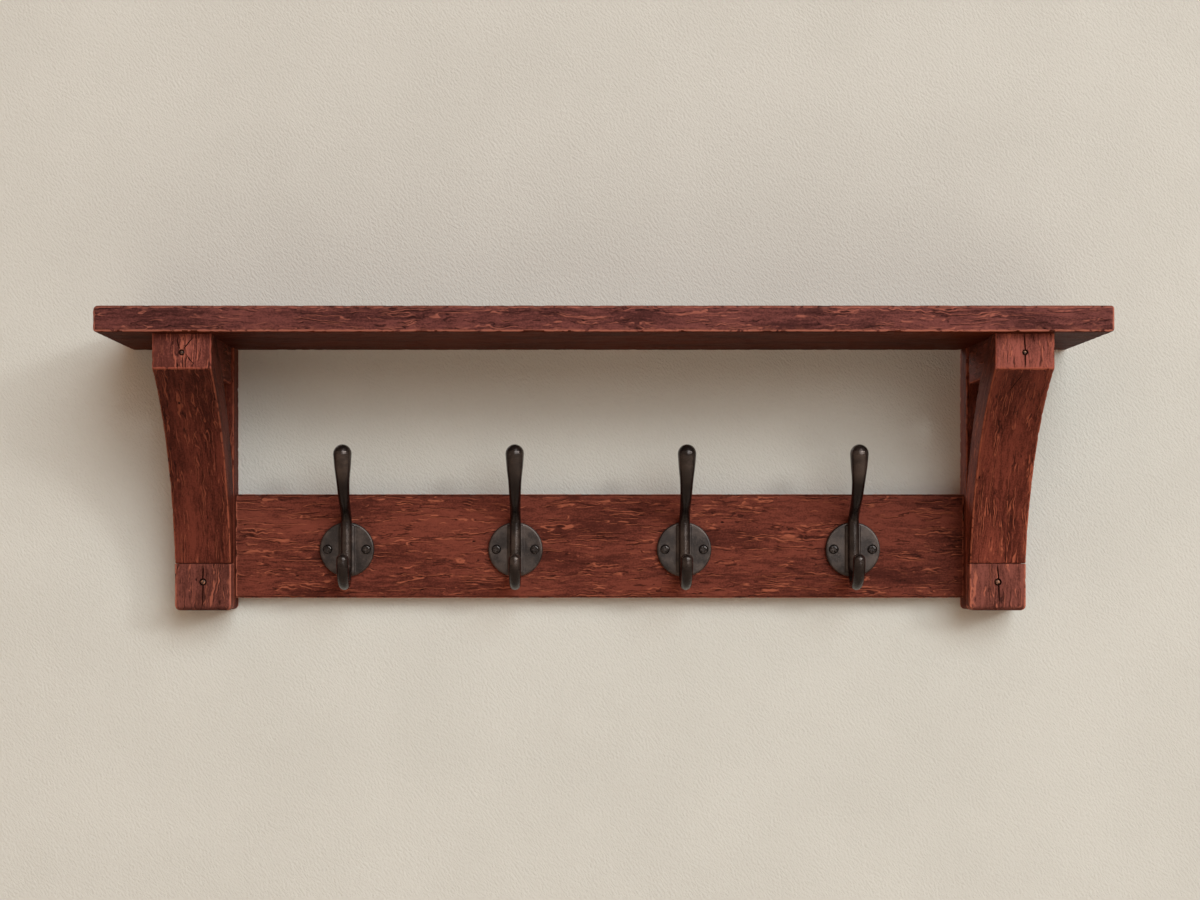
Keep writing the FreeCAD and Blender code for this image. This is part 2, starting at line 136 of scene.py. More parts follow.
def rule_lines(piece, axis, spacing):
    """Divides every edge along one axis, so that the faces are ruled at about one spacing."""
    chosen = runs_along(axis)
    verts = piece.data.vertices
    ends = [(verts[i].co, verts[j].co) for i, j in (edge.vertices for edge in piece.data.edges)]
    longest = max(abs(a[axis] - b[axis]) for a, b in ends if chosen(a, b))
    parts = max(2, round(longest / spacing))
    first = round(math.sqrt(parts))
    open_mesh(piece, "EDGE")
    for share in (first, round(parts / first)):
        if share > 1:
            pick_edges(piece, chosen)
            bpy.ops.mesh.subdivide(number_cuts=share - 1)
    close_mesh()


def rule_faces(piece, spacing):
    for axis in range(3):
        rule_lines(piece, axis, spacing)


def ease(piece, radius, steps, test, sharp=False):
    """Rounds the edges that pass a test, or the sharp ones of them. One step gives a flat chamfer."""
    open_mesh(piece, "EDGE")
    pick_edges(piece, test, sharp)
    bpy.ops.mesh.bevel(offset=radius, offset_type="OFFSET", segments=steps, profile=0.5)
    close_mesh()


def smooth(piece, degrees):
    """Shades a piece smooth wherever it turns by less than an angle."""
    pick_up(piece)
    bpy.ops.object.shade_smooth_by_angle(angle=math.radians(degrees))


def apply_modifier(piece, modifier):
    pick_up(piece)
    bpy.ops.object.modifier_apply(modifier=modifier.name)


def copy_of(piece, name, aside=0.0):
    """A copy of a piece with a mesh of its own, moved along X."""
    copy = piece.copy()
    copy.data = piece.data.copy()
    copy.name = name
    bpy.context.scene.collection.objects.link(copy)
    if aside:
        pick_up(copy)
        copy.location.x = aside
        bpy.ops.object.transform_apply(location=True, rotation=True, scale=True)
    return copy


def cut(piece, cutters, finish=0):
    """Takes the cutters' shapes out of a piece. The cut faces take the finish of that number."""
    pick_up(cutters[0])
    for cutter in cutters:
        cutter.select_set(True)
    if len(cutters) > 1:
        bpy.ops.object.join()
    tool = bpy.context.object
    for mesh in (piece.data, tool.data):
        while len(mesh.materials) <= finish:
            mesh.materials.append(None)
    for face in tool.data.polygons:
        face.material_index = finish
    carve = piece.modifiers.new("cut", "BOOLEAN")
    carve.operation = "DIFFERENCE"
    carve.solver = "EXACT"
    carve.object = tool
    apply_modifier(piece, carve)
    bpy.data.objects.remove(tool)


def place(tree, kind, inputs=(), **settings):
    """Adds a node with its settings, and sets or links its inputs."""
    node = tree.nodes.new(kind)
    for name, value in settings.items():
        setattr(node, name, value)
    for name, value in dict(inputs).items():
        if isinstance(value, bpy.types.NodeSocket):
            tree.links.new(value, node.inputs[name])
        else:
            node.inputs[name].default_value = value
    return node


def maths(operation, *values):
    """The result of a sum on numbers and sockets, in the tree that holds the sockets."""
    tree = next(value.id_data for value in values if isinstance(value, bpy.types.NodeSocket))
    return place(tree, "ShaderNodeMath", enumerate(values), operation=operation).outputs[0]


def product(first, second):
    return maths("MULTIPLY", first, second)


def total(first, second):
    return maths("ADD", first, second)


def less(first, second):
    return maths("SUBTRACT", first, second)


def fade(value, start, end, low=0.0, high=1.0):
    """Maps a value from start to end onto low to high, smoothly and no further."""
    inputs = enumerate((value, start, end, low, high))
    return place(value.id_data, "ShaderNodeMapRange", inputs, interpolation_type="SMOOTHSTEP").outputs[0]


def vector_maths(operation, vector, other):
    inputs = enumerate((vector, other))
    return place(vector.id_data, "ShaderNodeVectorMath", inputs, operation=operation).outputs[0]


def stretched(vector, scale):
    """Coordinates times one scale, or times a scale for each axis."""
    return vector_maths("MULTIPLY", vector, (scale,) * 3 if isinstance(scale, float) else scale)


def shifted(vector, offset):
    return vector_maths("ADD", vector, offset)


def scaled(vector, share):
    """A vector or a colour times a share that is a socket."""
    inputs = {0: vector, "Scale": share}
    return place(share.id_data, "ShaderNodeVectorMath", inputs, operation="SCALE").outputs[0]


def speckle(vector, scale, detail, roughness=0.5, distortion=0.0, output=0):
    """Noise from 0 to 1 on coordinates stretched by scale."""
    inputs = {"Vector": stretched(vector, scale), "Scale": 1.0, "Detail": detail}
    inputs.update({"Roughness": roughness, "Distortion": distortion})
    return place(vector.id_data, "ShaderNodeTexNoise", inputs).outputs[output]


def new_group(name, kind, given, made):
    """A node group with its inputs and outputs, each named with its kind of value."""
    tree = bpy.data.node_groups.new(name, kind)
    for in_out, sockets in (("INPUT", given), ("OUTPUT", made)):
        for socket, value_kind in sockets.items():
            tree.interface.new_socket(socket, in_out=in_out, socket_type="NodeSocket" + value_kind)
    return tree


# Scales are in features per metre, and a fade is the range in which an effect sets in.
ARRIS_ANGLE = 0.35
ARRIS_REACH = 0.004
ARRIS_FADE = (0.1, 0.9)
DENT_SCALE = 260.0
CHIP_SCALE = 150.0
CHIP_FADE = (0.52, 0.68)
WAVE_SHARE = 0.7
RELIEF_INPUTS = ("Arris Guide", "Edge Radius", "Wave Scale", "Wave Depth", "Chip Depth")
RELIEF_KINDS = ("Object", "Float", "Vector", "Float", "Float")


def scraped_relief():
    """The shape that a scraper and years of knocks leave: low waves, dents and chipped arrises."""
    kinds = {"Geometry": "Geometry", **dict(zip(RELIEF_INPUTS, RELIEF_KINDS))}
    tree = new_group("scraped_relief", "GeometryNodeTree", kinds, {"Geometry": "Geometry"})
    given = place(tree, "NodeGroupInput").outputs
    where = place(tree, "GeometryNodeInputPosition").outputs[0]
    guide = place(tree, "GeometryNodeObjectInfo", {"Object": given["Arris Guide"]}).outputs["Geometry"]
    angle = place(tree, "GeometryNodeInputMeshEdgeAngle").outputs["Unsigned Angle"]
    inputs = {"Geometry": guide, "Selection": maths("GREATER_THAN", angle, ARRIS_ANGLE)}
    arrises = place(tree, "GeometryNodeSeparateGeometry", inputs, domain="EDGE").outputs[0]
    inputs = {0: arrises, "Sample Position": where}
    distance = place(tree, "GeometryNodeProximity", inputs, target_element="EDGES").outputs["Distance"]
    round_over = product(given["Edge Radius"], math.sqrt(2) - 1)
    beyond = maths("MAXIMUM", less(distance, round_over), 0.0)
    arris = less(1.0, product(beyond, 1 / ARRIS_REACH))
    wave = speckle(where, given["Wave Scale"], 2.0)
    dents = speckle(where, DENT_SCALE, 2.0)
    chips = product(fade(speckle(where, CHIP_SCALE, 3.0), *CHIP_FADE), fade(arris, *ARRIS_FADE))
    body = total(product(wave, WAVE_SHARE), product(dents, 1 - WAVE_SHARE))
    depth = total(product(body, given["Wave Depth"]), product(chips, given["Chip Depth"]))
    inward = scaled(place(tree, "GeometryNodeInputNormal").outputs[0], product(depth, -1.0))
    inputs = {"Geometry": given["Geometry"], "Offset": inward}
    kept = place(tree, "GeometryNodeSetPosition", inputs).outputs[0]
    for name, value in (("arris", arris), ("chip", chips)):
        inputs = {"Geometry": kept, "Name": name, "Value": value}
        settings = {"data_type": "FLOAT", "domain": "POINT"}
        kept = place(tree, "GeometryNodeStoreNamedAttribute", inputs, **settings).outputs[0]
    place(tree, "NodeGroupOutput", {"Geometry": kept})
    return tree


relief_tree = scraped_relief()


def scrape(piece, guide, edge_radius, wave_scale, wave_depth, chip_depth):
    """Gives a piece its scraped faces and chipped arrises, and clears away the guide."""
    relief = piece.modifiers.new("relief", "NODES")
    relief.node_group = relief_tree
    values = dict(zip(RELIEF_INPUTS, (guide, edge_radius, wave_scale, wave_depth, chip_depth)))
    for item in relief_tree.interface.items_tree:
        if item.in_out == "INPUT" and item.name in values:
            relief[item.identifier] = values[item.name]
    apply_modifier(piece, relief)
    bpy.data.objects.remove(guide)
    smooth(piece, SMOOTH_ANGLE)


def paint(screen):
    """A colour from its red, green and blue on a screen, 0 to 255, as the shader's linear values."""
    shares = (value / 255 for value in screen)
    return tuple(s / 12.92 if s <= 0.04045 else ((s + 0.055) / 1.055) ** 2.4 for s in shares) + (1.0,)


def tint(share, first, second):
    """Mixes two colours by a share from 0 to 1."""
    return place(share.id_data, "ShaderNodeMix", {0: share, 6: first, 7: second}, data_type="RGBA").outputs[2]


LINE_STEP = 0.0003
PALE_HALF = 0.00034
DARK_HALF = 0.0004
LINE_CORE = 0.0001
LINE_APART = 0.0008
FLATTEST_SLOPE = 60.0
STEEP_FADE = (130.0, 250.0)


def ripple_lines(vector, scale, count):
    """Lines of one width where noise crosses its levels: a pale one and a dark one beside it."""
    here, over, up = [
        product(speckle(shifted(vector, offset), scale, 1.0), count)
        for offset in ((0, 0, 0), (0, LINE_STEP, 0), (0, 0, LINE_STEP))
    ]
    rises = [maths("POWER", less(other, here), 2.0) for other in (over, up)]
    slope = product(maths("SQRT", total(*rises)), 1 / LINE_STEP)
    turn = less(maths("FRACT", here), 0.5)
    away = maths("DIVIDE", turn, maths("MAXIMUM", slope, FLATTEST_SLOPE))
    steep = fade(slope, *STEEP_FADE)
    pale = fade(maths("ABSOLUTE", away), PALE_HALF, LINE_CORE)
    dark = fade(maths("ABSOLUTE", less(away, LINE_APART)), DARK_HALF, LINE_CORE)
    return product(pale, steep), product(dark, steep)


# Each sway's scale and reach, and each field of lines as its scale, the lines across its noise,
# its shift, the scale of the patches that it shows in and how much noise they leave out.
SWAYS = (
    ((20.0, 50.0, 50.0), (0.006, 0.008, 0.008)),
    ((120.0, 190.0, 190.0), (0.0020, 0.0026, 0.0026)),
)
LINE_FIELDS = (
    ((9.0, 170.0, 170.0), 6.0, (1.7, 0.3, 5.1), (30.0, 170.0, 170.0), 0.51),
    ((19.0, 300.0, 300.0), 3.0, (8.2, 4.4, 2.9), (50.0, 190.0, 190.0), 0.55),
)
PATCH_BLEND = 0.08
PATCH_WARP = 0.4
FINE_ROUGHNESS = 0.6
TONE_SCALE = (12.0, 48.0, 48.0)
HAIR_SCALE = (60.0, 520.0, 520.0)
FUZZ_SCALE = (650.0, 900.0, 900.0)
HAIR_SHARE = 0.62
CELL_SCALE = (70.0, 150.0, 150.0)
CELL_FADE = (0.86, 0.90)
PIT_FADE = (0.14, 0.06)
GRAIN_HEIGHT = 0.9
PIT_HEIGHT = 1.5


def wood_figure():
    """The figure of the scraped wood, on coordinates in metres whose X runs along the grain."""
    made = ("Tone", "Grain", "Streak", "Check", "Pit", "Height")
    tree = new_group("wood_figure", "ShaderNodeTree", {"Vector": "Vector"}, dict.fromkeys(made, "Float"))
    along = place(tree, "NodeGroupInput").outputs[0]
    wavy = along
    for scale, reach in SWAYS:
        lean = vector_maths("SUBTRACT", speckle(along, scale, 1.0, output="Color"), (0.5, 0.5, 0.5))
        wavy = shifted(wavy, stretched(lean, reach))
    tone = speckle(wavy, TONE_SCALE, 3.0)
    hair = speckle(wavy, HAIR_SCALE, 2.0, FINE_ROUGHNESS)
    fuzz = speckle(along, FUZZ_SCALE, 1.0, FINE_ROUGHNESS)
    grain = total(product(hair, HAIR_SHARE), product(fuzz, 1 - HAIR_SHARE))
    light, dark = [], []
    for scale, count, shift, patch, cover in LINE_FIELDS:
        field = shifted(wavy, shift)
        pale_line, dark_line = ripple_lines(field, scale, count)
        shown = speckle(field, patch, 2.0)
        warped = speckle(field, patch, 2.0, FINE_ROUGHNESS, PATCH_WARP)
        light.append(product(pale_line, fade(shown, cover, cover + PATCH_BLEND)))
        dark.append(product(dark_line, fade(warped, cover, cover + PATCH_BLEND)))
    streak = maths("MAXIMUM", *light)
    check = maths("MAXIMUM", *dark)
    inputs = {"Vector": stretched(wavy, CELL_SCALE), "Scale": 1.0}
    cells = place(tree, "ShaderNodeTexVoronoi", inputs).outputs
    draw = place(tree, "ShaderNodeSeparateColor", {0: cells["Color"]}).outputs[0]
    pit = product(fade(cells["Distance"], *PIT_FADE), fade(draw, *CELL_FADE))
    raised = total(less(streak, check), product(grain, GRAIN_HEIGHT))
    height = less(raised, product(pit, PIT_HEIGHT))
    place(tree, "NodeGroupOutput", zip(made, (tone, grain, streak, check, pit, height)))
    return tree


figure_tree = wood_figure()

# Pale arrises: wear, and a painted highlight along the edges.
WEAR_SCALE = 160.0
WEAR_WANDER = 0.35
WEAR_FADE = (0.76, 0.88)
GAP_FADE = (0.36, 0.44)
CHIP_WEAR = 0.5


def worn_and_lit_edge():
    """Where an arris is rubbed pale and carries a painted highlight, from how near it is and whether it is
    chipped.
    """
    kinds = {"Near": "Float", "Chip": "Float", "Vector": "Vector"}
    tree = new_group("worn_and_lit_edge", "ShaderNodeTree", kinds, {"Wear": "Float"})
    given = place(tree, "NodeGroupInput").outputs
    patchy = speckle(given["Vector"], WEAR_SCALE, 3.0, FINE_ROUGHNESS)
    reach = total(given["Near"], product(less(patchy, 0.5), WEAR_WANDER))
    broken = product(fade(reach, *WEAR_FADE), fade(patchy, *GAP_FADE))
    wear_and_sheen = maths("MAXIMUM", broken, product(given["Chip"], CHIP_WEAR))
    place(tree, "NodeGroupOutput", {"Wear": wear_and_sheen})
    return tree


wear_and_sheen_tree = worn_and_lit_edge()


def straight_grain(*degrees):
    """Coordinates turned so that X runs along the grain of a straight board."""
    turn = [math.radians(value) for value in degrees]

    def line(where):
        return place(where.id_data, "ShaderNodeMapping", {"Vector": where, "Rotation": turn}).outputs[0]

    return line


ALONG_X = straight_grain(0, 0, 0)
ALONG_Y = straight_grain(0, 0, 90)
ALONG_Z = straight_grain(0, 90, 0)


def new_material(name):
    """A material that holds nothing yet but its coordinates on the object."""
    material = bpy.data.materials.new(name)
    material.use_nodes = True
    material.node_tree.nodes.clear()
    return material, place(material.node_tree, "ShaderNodeTexCoord").outputs["Object"]


def surface(colour, height, bump_depth, values):
    """The shader of a surface, with bumps of a depth that follow a height."""
    tree = colour.id_data
    bumps = place(tree, "ShaderNodeBump", {"Strength": 1.0, "Distance": bump_depth, "Height": height})
    inputs = {"Base Color": colour, "Normal": bumps.outputs[0], **values}
    return place(tree, "ShaderNodeBsdfPrincipled", inputs).outputs[0]


def show(shader):
    place(shader.id_data, "ShaderNodeOutputMaterial", {"Surface": shader})


GRAIN_SHARE = 1.2
STAIN_FADE = (0.83, 1.37)
MARK_SHARE = 0.75
WEAR_AND_SHEEN_SHARE = 0.7
SATIN = (0.2, 0.8, 0.62, 0.48)
WOOD_BUMP = 0.0003
WOOD_SPECULAR = 0.03


# The worn colour paints the pale arrises: wear, and a painted highlight on them.
def stained_wood(name, grain_line, dark, light, streak, crack, worn, light_and_shade=()):
    """Stained hardwood under a worn satin finish, with its grain along one line.

    Each tone paints light and shade by scaling the colour along an axis: (axis, from, to, share at from,
    share at to)."""
    material, where = new_material(name)
    tree = material.node_tree
    marks = place(tree, "ShaderNodeGroup", {0: grain_line(where)}, node_tree=figure_tree).outputs
    near, chip = [
        place(tree, "ShaderNodeAttribute", attribute_name=attribute).outputs["Fac"]
        for attribute in ("arris", "chip")
    ]
    inputs = {"Near": near, "Chip": chip, "Vector": where}
    wear_and_sheen = place(tree, "ShaderNodeGroup", inputs, node_tree=wear_and_sheen_tree).outputs["Wear"]
    stain = fade(total(marks["Tone"], product(marks["Grain"], GRAIN_SHARE)), *STAIN_FADE)
    colour = tint(stain, paint(dark), paint(light))
    for share, over in (
        (product(marks["Streak"], MARK_SHARE), streak),
        (product(marks["Check"], MARK_SHARE), crack),
        (marks["Pit"], crack),
        (product(wear_and_sheen, WEAR_AND_SHEEN_SHARE), worn),
    ):
        colour = tint(share, colour, paint(over))
    axes = place(tree, "ShaderNodeSeparateXYZ", {0: where}).outputs
    # Light and shade painted into the colour, along the axes.
    for axis, *tone in light_and_shade:
        colour = scaled(colour, fade(axes[axis], *tone))
    values = {"Roughness": fade(marks["Grain"], *SATIN), "Specular IOR Level": WOOD_SPECULAR}
    show(surface(colour, marks["Height"], WOOD_BUMP, values))
    return material


def painted_shade_band(level, inward, steps, share):
    """Two tones that paint shade in a band just inside an edge, down to a share, and leave the edge as it
    was.
    """
    start, dark, still_dark, light = [level + inward * step for step in steps]
    return ((2, start, dark, 1.0, share), (2, still_dark, light, 1.0, 1 / share))


def dress(piece, material, nodes):
    """Gives a finished piece its material, its place on the object and the nodes that it stands for."""
    if not piece.data.materials:
        piece.data.materials.append(None)
    piece.data.materials[0] = material
    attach(piece, "root")
    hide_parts(*nodes)


# The scale and depth of the shelf's waves and the depth of its chips, and the light and shade painted into
# its colour: lighter towards the right, and a dark band of painted shade just inside its top edge.
SHELF_SCRAPE = ((22.0, 60.0, 60.0), 0.0002, 0.0006)
SHELF_LIGHT_FALL = (0, -0.36, 0.36, 0.96, 1.14)
SHELF_SHADE_BAND = (0.0016, 0.0010, 0.0006, 0.0003)
SHELF_SHADE_SHARE = 0.45
FACES_DOWN = -0.8

shelf_low, shelf_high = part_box("shelf_board")
shelf = add_block("shelf", shelf_low, shelf_high)
shelf_guide = copy_of(shelf, "shelf_guide")
ease(shelf, SHELF_EDGE_RADIUS, ROUND_STEPS, lambda a, b: True)
rule_faces(shelf, SHELF_RULE)
scrape(shelf, shelf_guide, SHELF_EDGE_RADIUS, *SHELF_SCRAPE)
plug_holes = []
for side_name in bracket_names:
    for place_name in ("front", "rear"):
        low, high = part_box(side_name + "_shelf_plug_" + place_name)
        centre = (low + high) / 2
        bottom = Vector((centre.x, centre.y, low.z))
        top = Vector((centre.x, centre.y, high.z + OVERRUN))
        plug_holes.append(add_rod("plug_hole", bottom, top, (high.x - low.x) / 2 + PLUG_CLEARANCE))
cut(shelf, plug_holes)
shelf_wood = stained_wood(
    "shelf_wood",
    ALONG_X,
    dark=(66, 34, 31),
    light=(114, 63, 57),
    streak=(158, 92, 76),
    crack=(40, 20, 18),
    worn=(186, 112, 92),
    # Painted light towards the right, and painted shade just inside the top edge.
    light_and_shade=(SHELF_LIGHT_FALL, *painted_shade_band(shelf_high.z, -1, SHELF_SHADE_BAND, SHELF_SHADE_SHARE)),
)
dress(shelf, shelf_wood, ("shelf_board",))
# Painted shade: a darker copy of the shelf's stain for its underside, where less light reaches from below.
under_shade_wood = stained_wood(
    "under_shade_wood",
    ALONG_X,
    dark=(52, 15, 4),
    light=(80, 29, 11),
    streak=(84, 34, 16),
    crack=(40, 17, 11),
    worn=(90, 46, 32),
)
shelf.data.materials.append(under_shade_wood)
for face in shelf.data.polygons:
    face.material_index = int(face.normal.z < FACES_DOWN and face.center.z < shelf_low.z + SHELF_EDGE_RADIUS)


# Braces. One curved piece on each side, sawn from a thick plank, with a square head under
# the shelf's front and a foot on the foot block. A nail through the head goes into the arm.

BRACE_FRONT_RADIUS = 0.224
BRACE_BACK_RADIUS = 0.235
HEAD_HEIGHT = 0.0265
HEAD_LENGTH = 0.024
HEEL_HEIGHT = 0.055
WOOD_EDGE_RADIUS = 0.0015
WOOD_EDGE_STEPS = 2
JOINT_EDGE = 0.0008
JOINT_OVERRUN = 0.02
WOOD_RULE = 0.0019
LONG_EDGE = 0.008
RUNGS = 104
BRACE_SCRAPE = ((60.0, 60.0, 24.0), 0.0003, 0.0005)
# Painted light and shade on the braces: lighter towards the right, darker at the top where the shelf shades
# them, a little lighter low down.
BRACE_LIGHT_AND_SHADE = ((0, -0.3, 0.3, 0.83, 1.18), (2, 0.045, -0.08, 0.74, 1.06), (2, -0.06, -0.10, 1.0, 1.06))
# Painted light on the heads: their colour lifted, more so towards the right.
HEAD_LIGHT_FALL = ((0, -0.3, 0.3, 1.1, 1.2),)
NAIL_HOLE_CLEARANCE = 0.0004
NAIL_HOLE_DEPTH = 0.0024
NAIL_HOLE_SIDES = 32
CRACK_RADIUS = 0.0012
CRACK_WIDTH_SHARES = (0.8, 1.0)
CRACK_END_SHARE = 0.2
MM = 0.001


def at_level(axis, level):
    """A test for edges that lie at one place along an axis."""
    return lambda a, b: max(abs(a[axis] - level), abs(b[axis] - level)) < NEAR


def line_at(axis, level, along):
    """A test for edges that lie at one place along an axis and run along another."""
    return lambda a, b: at_level(axis, level)(a, b) and runs_along(along)(a, b)


def rim_at(height, back):
    """A test for edges that lie at one height, but not at the back."""
    return lambda a, b: at_level(2, height)(a, b) and not at_level(1, back)(a, b)


def seal_mesh():
    """Turns all faces of the open mesh outwards, and closes it."""
    bpy.ops.mesh.select_all(action="SELECT")
    bpy.ops.mesh.normals_make_consistent(inside=False)
    close_mesh()


def arc_centre(start, end, radius):
    """The centre of an arc of the side view that bows towards the wall and up."""
    chord = end - start
    across = Vector((0, -chord.z, chord.y)).normalized()
    if across.y < 0:
        across.negate()
    rise = math.sqrt(radius**2 - (chord.length / 2) ** 2)
    return (start + end) / 2 - across * rise


def span_points(start, end, radius, shares):
    """Points along such an arc, or along a straight line where the radius is 0."""
    if not radius:
        return [start.lerp(end, share) for share in shares]
    centre = arc_centre(start, end, radius)
    first, last = start - centre, end - centre
    sweep = first.angle(last)
    weights = [(math.sin((1 - share) * sweep), math.sin(share * sweep)) for share in shares]
    return [centre + (first * early + last * late) / math.sin(sweep) for early, late in weights]


def side_line(corner, first, last, shares):
    """Points along two spans, each (start, end, radius), that meet at a share of the way."""
    early = [share / corner for share in shares if share < corner]
    late = [(share - corner) / (1 - corner) for share in shares if share >= corner]
    return span_points(*first, early) + span_points(*last, late)


def arc_length(start, end, radius):
    return 2 * radius * math.asin((end - start).length / (2 * radius))


def add_brace(name, low, high, post_front, foot_front, foot_top):
    """The brace as a strip of rungs from foot to head, drawn out to its width."""
    head_top = Vector((low.x, low.y, high.z))
    lip = Vector((low.x, low.y, high.z - HEAD_HEIGHT))
    head_back = Vector((low.x, low.y + HEAD_LENGTH, high.z))
    toe = Vector((low.x, foot_front, foot_top))
    heel = Vector((low.x, post_front, foot_top))
    heel_top = Vector((low.x, post_front, foot_top + HEEL_HEIGHT))
    front_arc = (toe, lip, BRACE_FRONT_RADIUS)
    back_arc = (heel_top, head_back, BRACE_BACK_RADIUS)
    front_corner = arc_length(*front_arc) / (arc_length(*front_arc) + HEAD_HEIGHT)
    back_corner = HEEL_HEIGHT / (HEEL_HEIGHT + arc_length(*back_arc))
    corners = [front_corner, back_corner]
    even = [step / RUNGS for step in range(RUNGS + 1)]
    apart = [share for share in even if all(abs(share - corner) > 0.5 / RUNGS for corner in corners)]
    shares = sorted(apart + corners)
    front = side_line(front_corner, front_arc, (lip, head_top, 0), shares)
    back = side_line(back_corner, (heel, heel_top, 0), back_arc, shares)
    rungs = [((a + b) / 2, b - a) for a, b in zip(front, back)]
    middle, across = rungs[0]
    deselect()
    bpy.ops.mesh.primitive_plane_add(
        size=1, location=middle + Vector((0, 0, 0.5)), rotation=(0, math.radians(90), 0)
    )
    brace = settle(name)
    open_mesh(brace, "VERT")
    mesh = bmesh.from_edit_mesh(brace.data)
    for vert in mesh.verts:
        vert.select_set(vert.co.z > middle.z + 0.5)
    bpy.ops.mesh.delete(type="VERT")
    bpy.ops.mesh.select_all(action="SELECT")
    bpy.ops.transform.resize(value=(1, across.length, 1), center_override=middle)
    for (middle, across), (next_middle, next_across) in zip(rungs, rungs[1:]):
        bpy.ops.mesh.extrude_region_move(TRANSFORM_OT_translate={"value": next_middle - middle})
        turn = math.atan2(next_across.z, next_across.y) - math.atan2(across.z, across.y)
        bpy.ops.transform.rotate(value=-turn, orient_axis="X", center_override=next_middle)
        grow = next_across.length / across.length
        bpy.ops.transform.resize(value=(1, grow, grow), center_override=next_middle)
    bpy.ops.mesh.select_all(action="SELECT")
    bpy.ops.mesh.extrude_region_move(TRANSFORM_OT_translate={"value": (high.x - low.x, 0, 0)})
    seal_mesh()
    return brace


def divide_long(piece, longest, spacing):
    """Divides every edge that is longer than a length into steps of about one spacing."""
    open_mesh(piece, "EDGE")
    found = [edge.calc_length() for edge in bmesh.from_edit_mesh(piece.data).edges]
    parts = round(max(found) / spacing)
    pick_edges(piece, lambda a, b: (a - b).length > longest)
    bpy.ops.mesh.subdivide(number_cuts=parts - 1)
    close_mesh()


def nail_hole(node, front):
    """The hole that a nail's head sits in, cut back from a front face."""
    low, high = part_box(node)
    start, end = (low + high) / 2, (low + high) / 2
    start.y, end.y = front - OVERRUN, front + NAIL_HOLE_DEPTH
    return add_rod("nail_hole", start, end, (high.x - low.x) / 2 + NAIL_HOLE_CLEARANCE, NAIL_HOLE_SIDES)


def draw_out(name, sides, rings):
    """A closed bar drawn out through rings, each (point, heading about X, radius)."""
    deselect()
    bpy.ops.mesh.primitive_circle_add(
        vertices=sides, radius=rings[0][2], fill_type="NGON", location=rings[0][0]
    )
    bar = settle(name)
    open_mesh(bar, "VERT", "SELECT")
    for (start, heading, radius), (end, next_heading, next_radius) in zip(rings, rings[1:]):
        bpy.ops.mesh.extrude_region_move(TRANSFORM_OT_translate={"value": end - start})
        if next_heading != heading:
            bpy.ops.transform.rotate(value=next_heading - heading, orient_axis="X", center_override=end)
        grow = next_radius / radius
        bpy.ops.transform.resize(value=(grow, grow, grow), center_override=end)
    seal_mesh()
    return bar


def crack_in(points, radius=CRACK_RADIUS):
    """A drying crack: a three-sided bar along points of a front face, fading out at its ends."""
    shares = [CRACK_WIDTH_SHARES[step % 2] for step in range(len(points))]
    shares[0] = shares[-1] = CRACK_END_SHARE
    return draw_out("crack", 3, [(Vector(point), 0, share * radius) for point, share in zip(points, shares)])


def crack_points(node, front, line):
    """Points of a crack on a flat front, from (aside, up) in millimetres from a nail."""
    centre = centre_of(node)
    return [(centre.x + aside * MM, front, centre.z + up * MM) for aside, up in line]


def round_grain(centre, radius):
    """Coordinates of a sawn curve: X runs round the arc, and Z out from its centre."""

    def line(where):
        tree = where.id_data
        x, y, z = place(tree, "ShaderNodeSeparateXYZ", {0: where}).outputs
        ahead, up = less(y, centre.y), less(z, centre.z)
        turn = product(maths("ARCTAN2", up, ahead), radius)
        out = maths("SQRT", total(product(ahead, ahead), product(up, up)))
        return place(tree, "ShaderNodeCombineXYZ", enumerate((turn, x, out))).outputs[0]

    return line


def front_arc_of(side_name):
    """The curve on a brace's front in its left side's plane: its lower and upper end and radius."""
    brace_low, brace_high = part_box(side_name + "_brace")
    foot_low, foot_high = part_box(side_name + "_foot_block")
    toe = Vector((brace_low.x, foot_low.y, foot_high.z))
    return toe, Vector((brace_low.x, brace_low.y, brace_high.z - HEAD_HEIGHT)), BRACE_FRONT_RADIUS


brace_wood = stained_wood(
    "brace_wood",
    round_grain(arc_centre(*front_arc_of("left")), BRACE_FRONT_RADIUS),
    dark=(66, 28, 20),
    light=(112, 53, 40),
    streak=(152, 80, 58),
    crack=(38, 17, 13),
    worn=(164, 88, 64),
    light_and_shade=BRACE_LIGHT_AND_SHADE,
)
head_wood = stained_wood(
    "head_wood",
    ALONG_Z,
    dark=(84, 42, 35),
    light=(142, 77, 65),
    streak=(166, 92, 72),
    crack=(42, 19, 15),
    worn=(154, 80, 63),
    light_and_shade=HEAD_LIGHT_FALL,
)
# Painted shade: the walls of the cracks and nail holes take this near black stain for the shade inside them.
crack_shade_wood = stained_wood(
    "crack_shade_wood",
    ALONG_Y,
    dark=(38, 17, 12),
    light=(60, 28, 21),
    streak=(64, 31, 24),
    crack=(28, 12, 9),
    worn=(60, 28, 21),
)

# Cracks of each head as (aside, up) in millimetres from its nail, and of each brace's front as
# (aside, level), from the photograph.
HEAD_CRACKS = {
    "left": (
        ((-0.6, 1.2), (-2.2, 5.0), (-3.1, 8.4), (-2.4, 12.9)),
        ((0.9, 1.4), (3.6, 5.2), (6.8, 9.2), (10.0, 12.4)),
        ((3.2, -0.8), (6.0, -5.2), (10.5, -10.3)),
        ((-3.1, -6.6), (-3.0, -9.8), (-3.2, -12.9)),
    ),
    "right": (((-0.5, 14.2), (-0.4, 8.0), (0.2, 2.0), (0.0, -4.0), (0.1, -9.0), (-0.2, -12.0)),),
}
BRACE_CRACKS = {
    "left": (((-3.2, 38.5), (-1.6, 36.5), (-1.2, 34.5)),),
    "right": (((-0.3, 41.0), (-2.0, 37.5), (-4.2, 34.0), (-6.2, 30.5), (-9.6, 24.5)),),
}


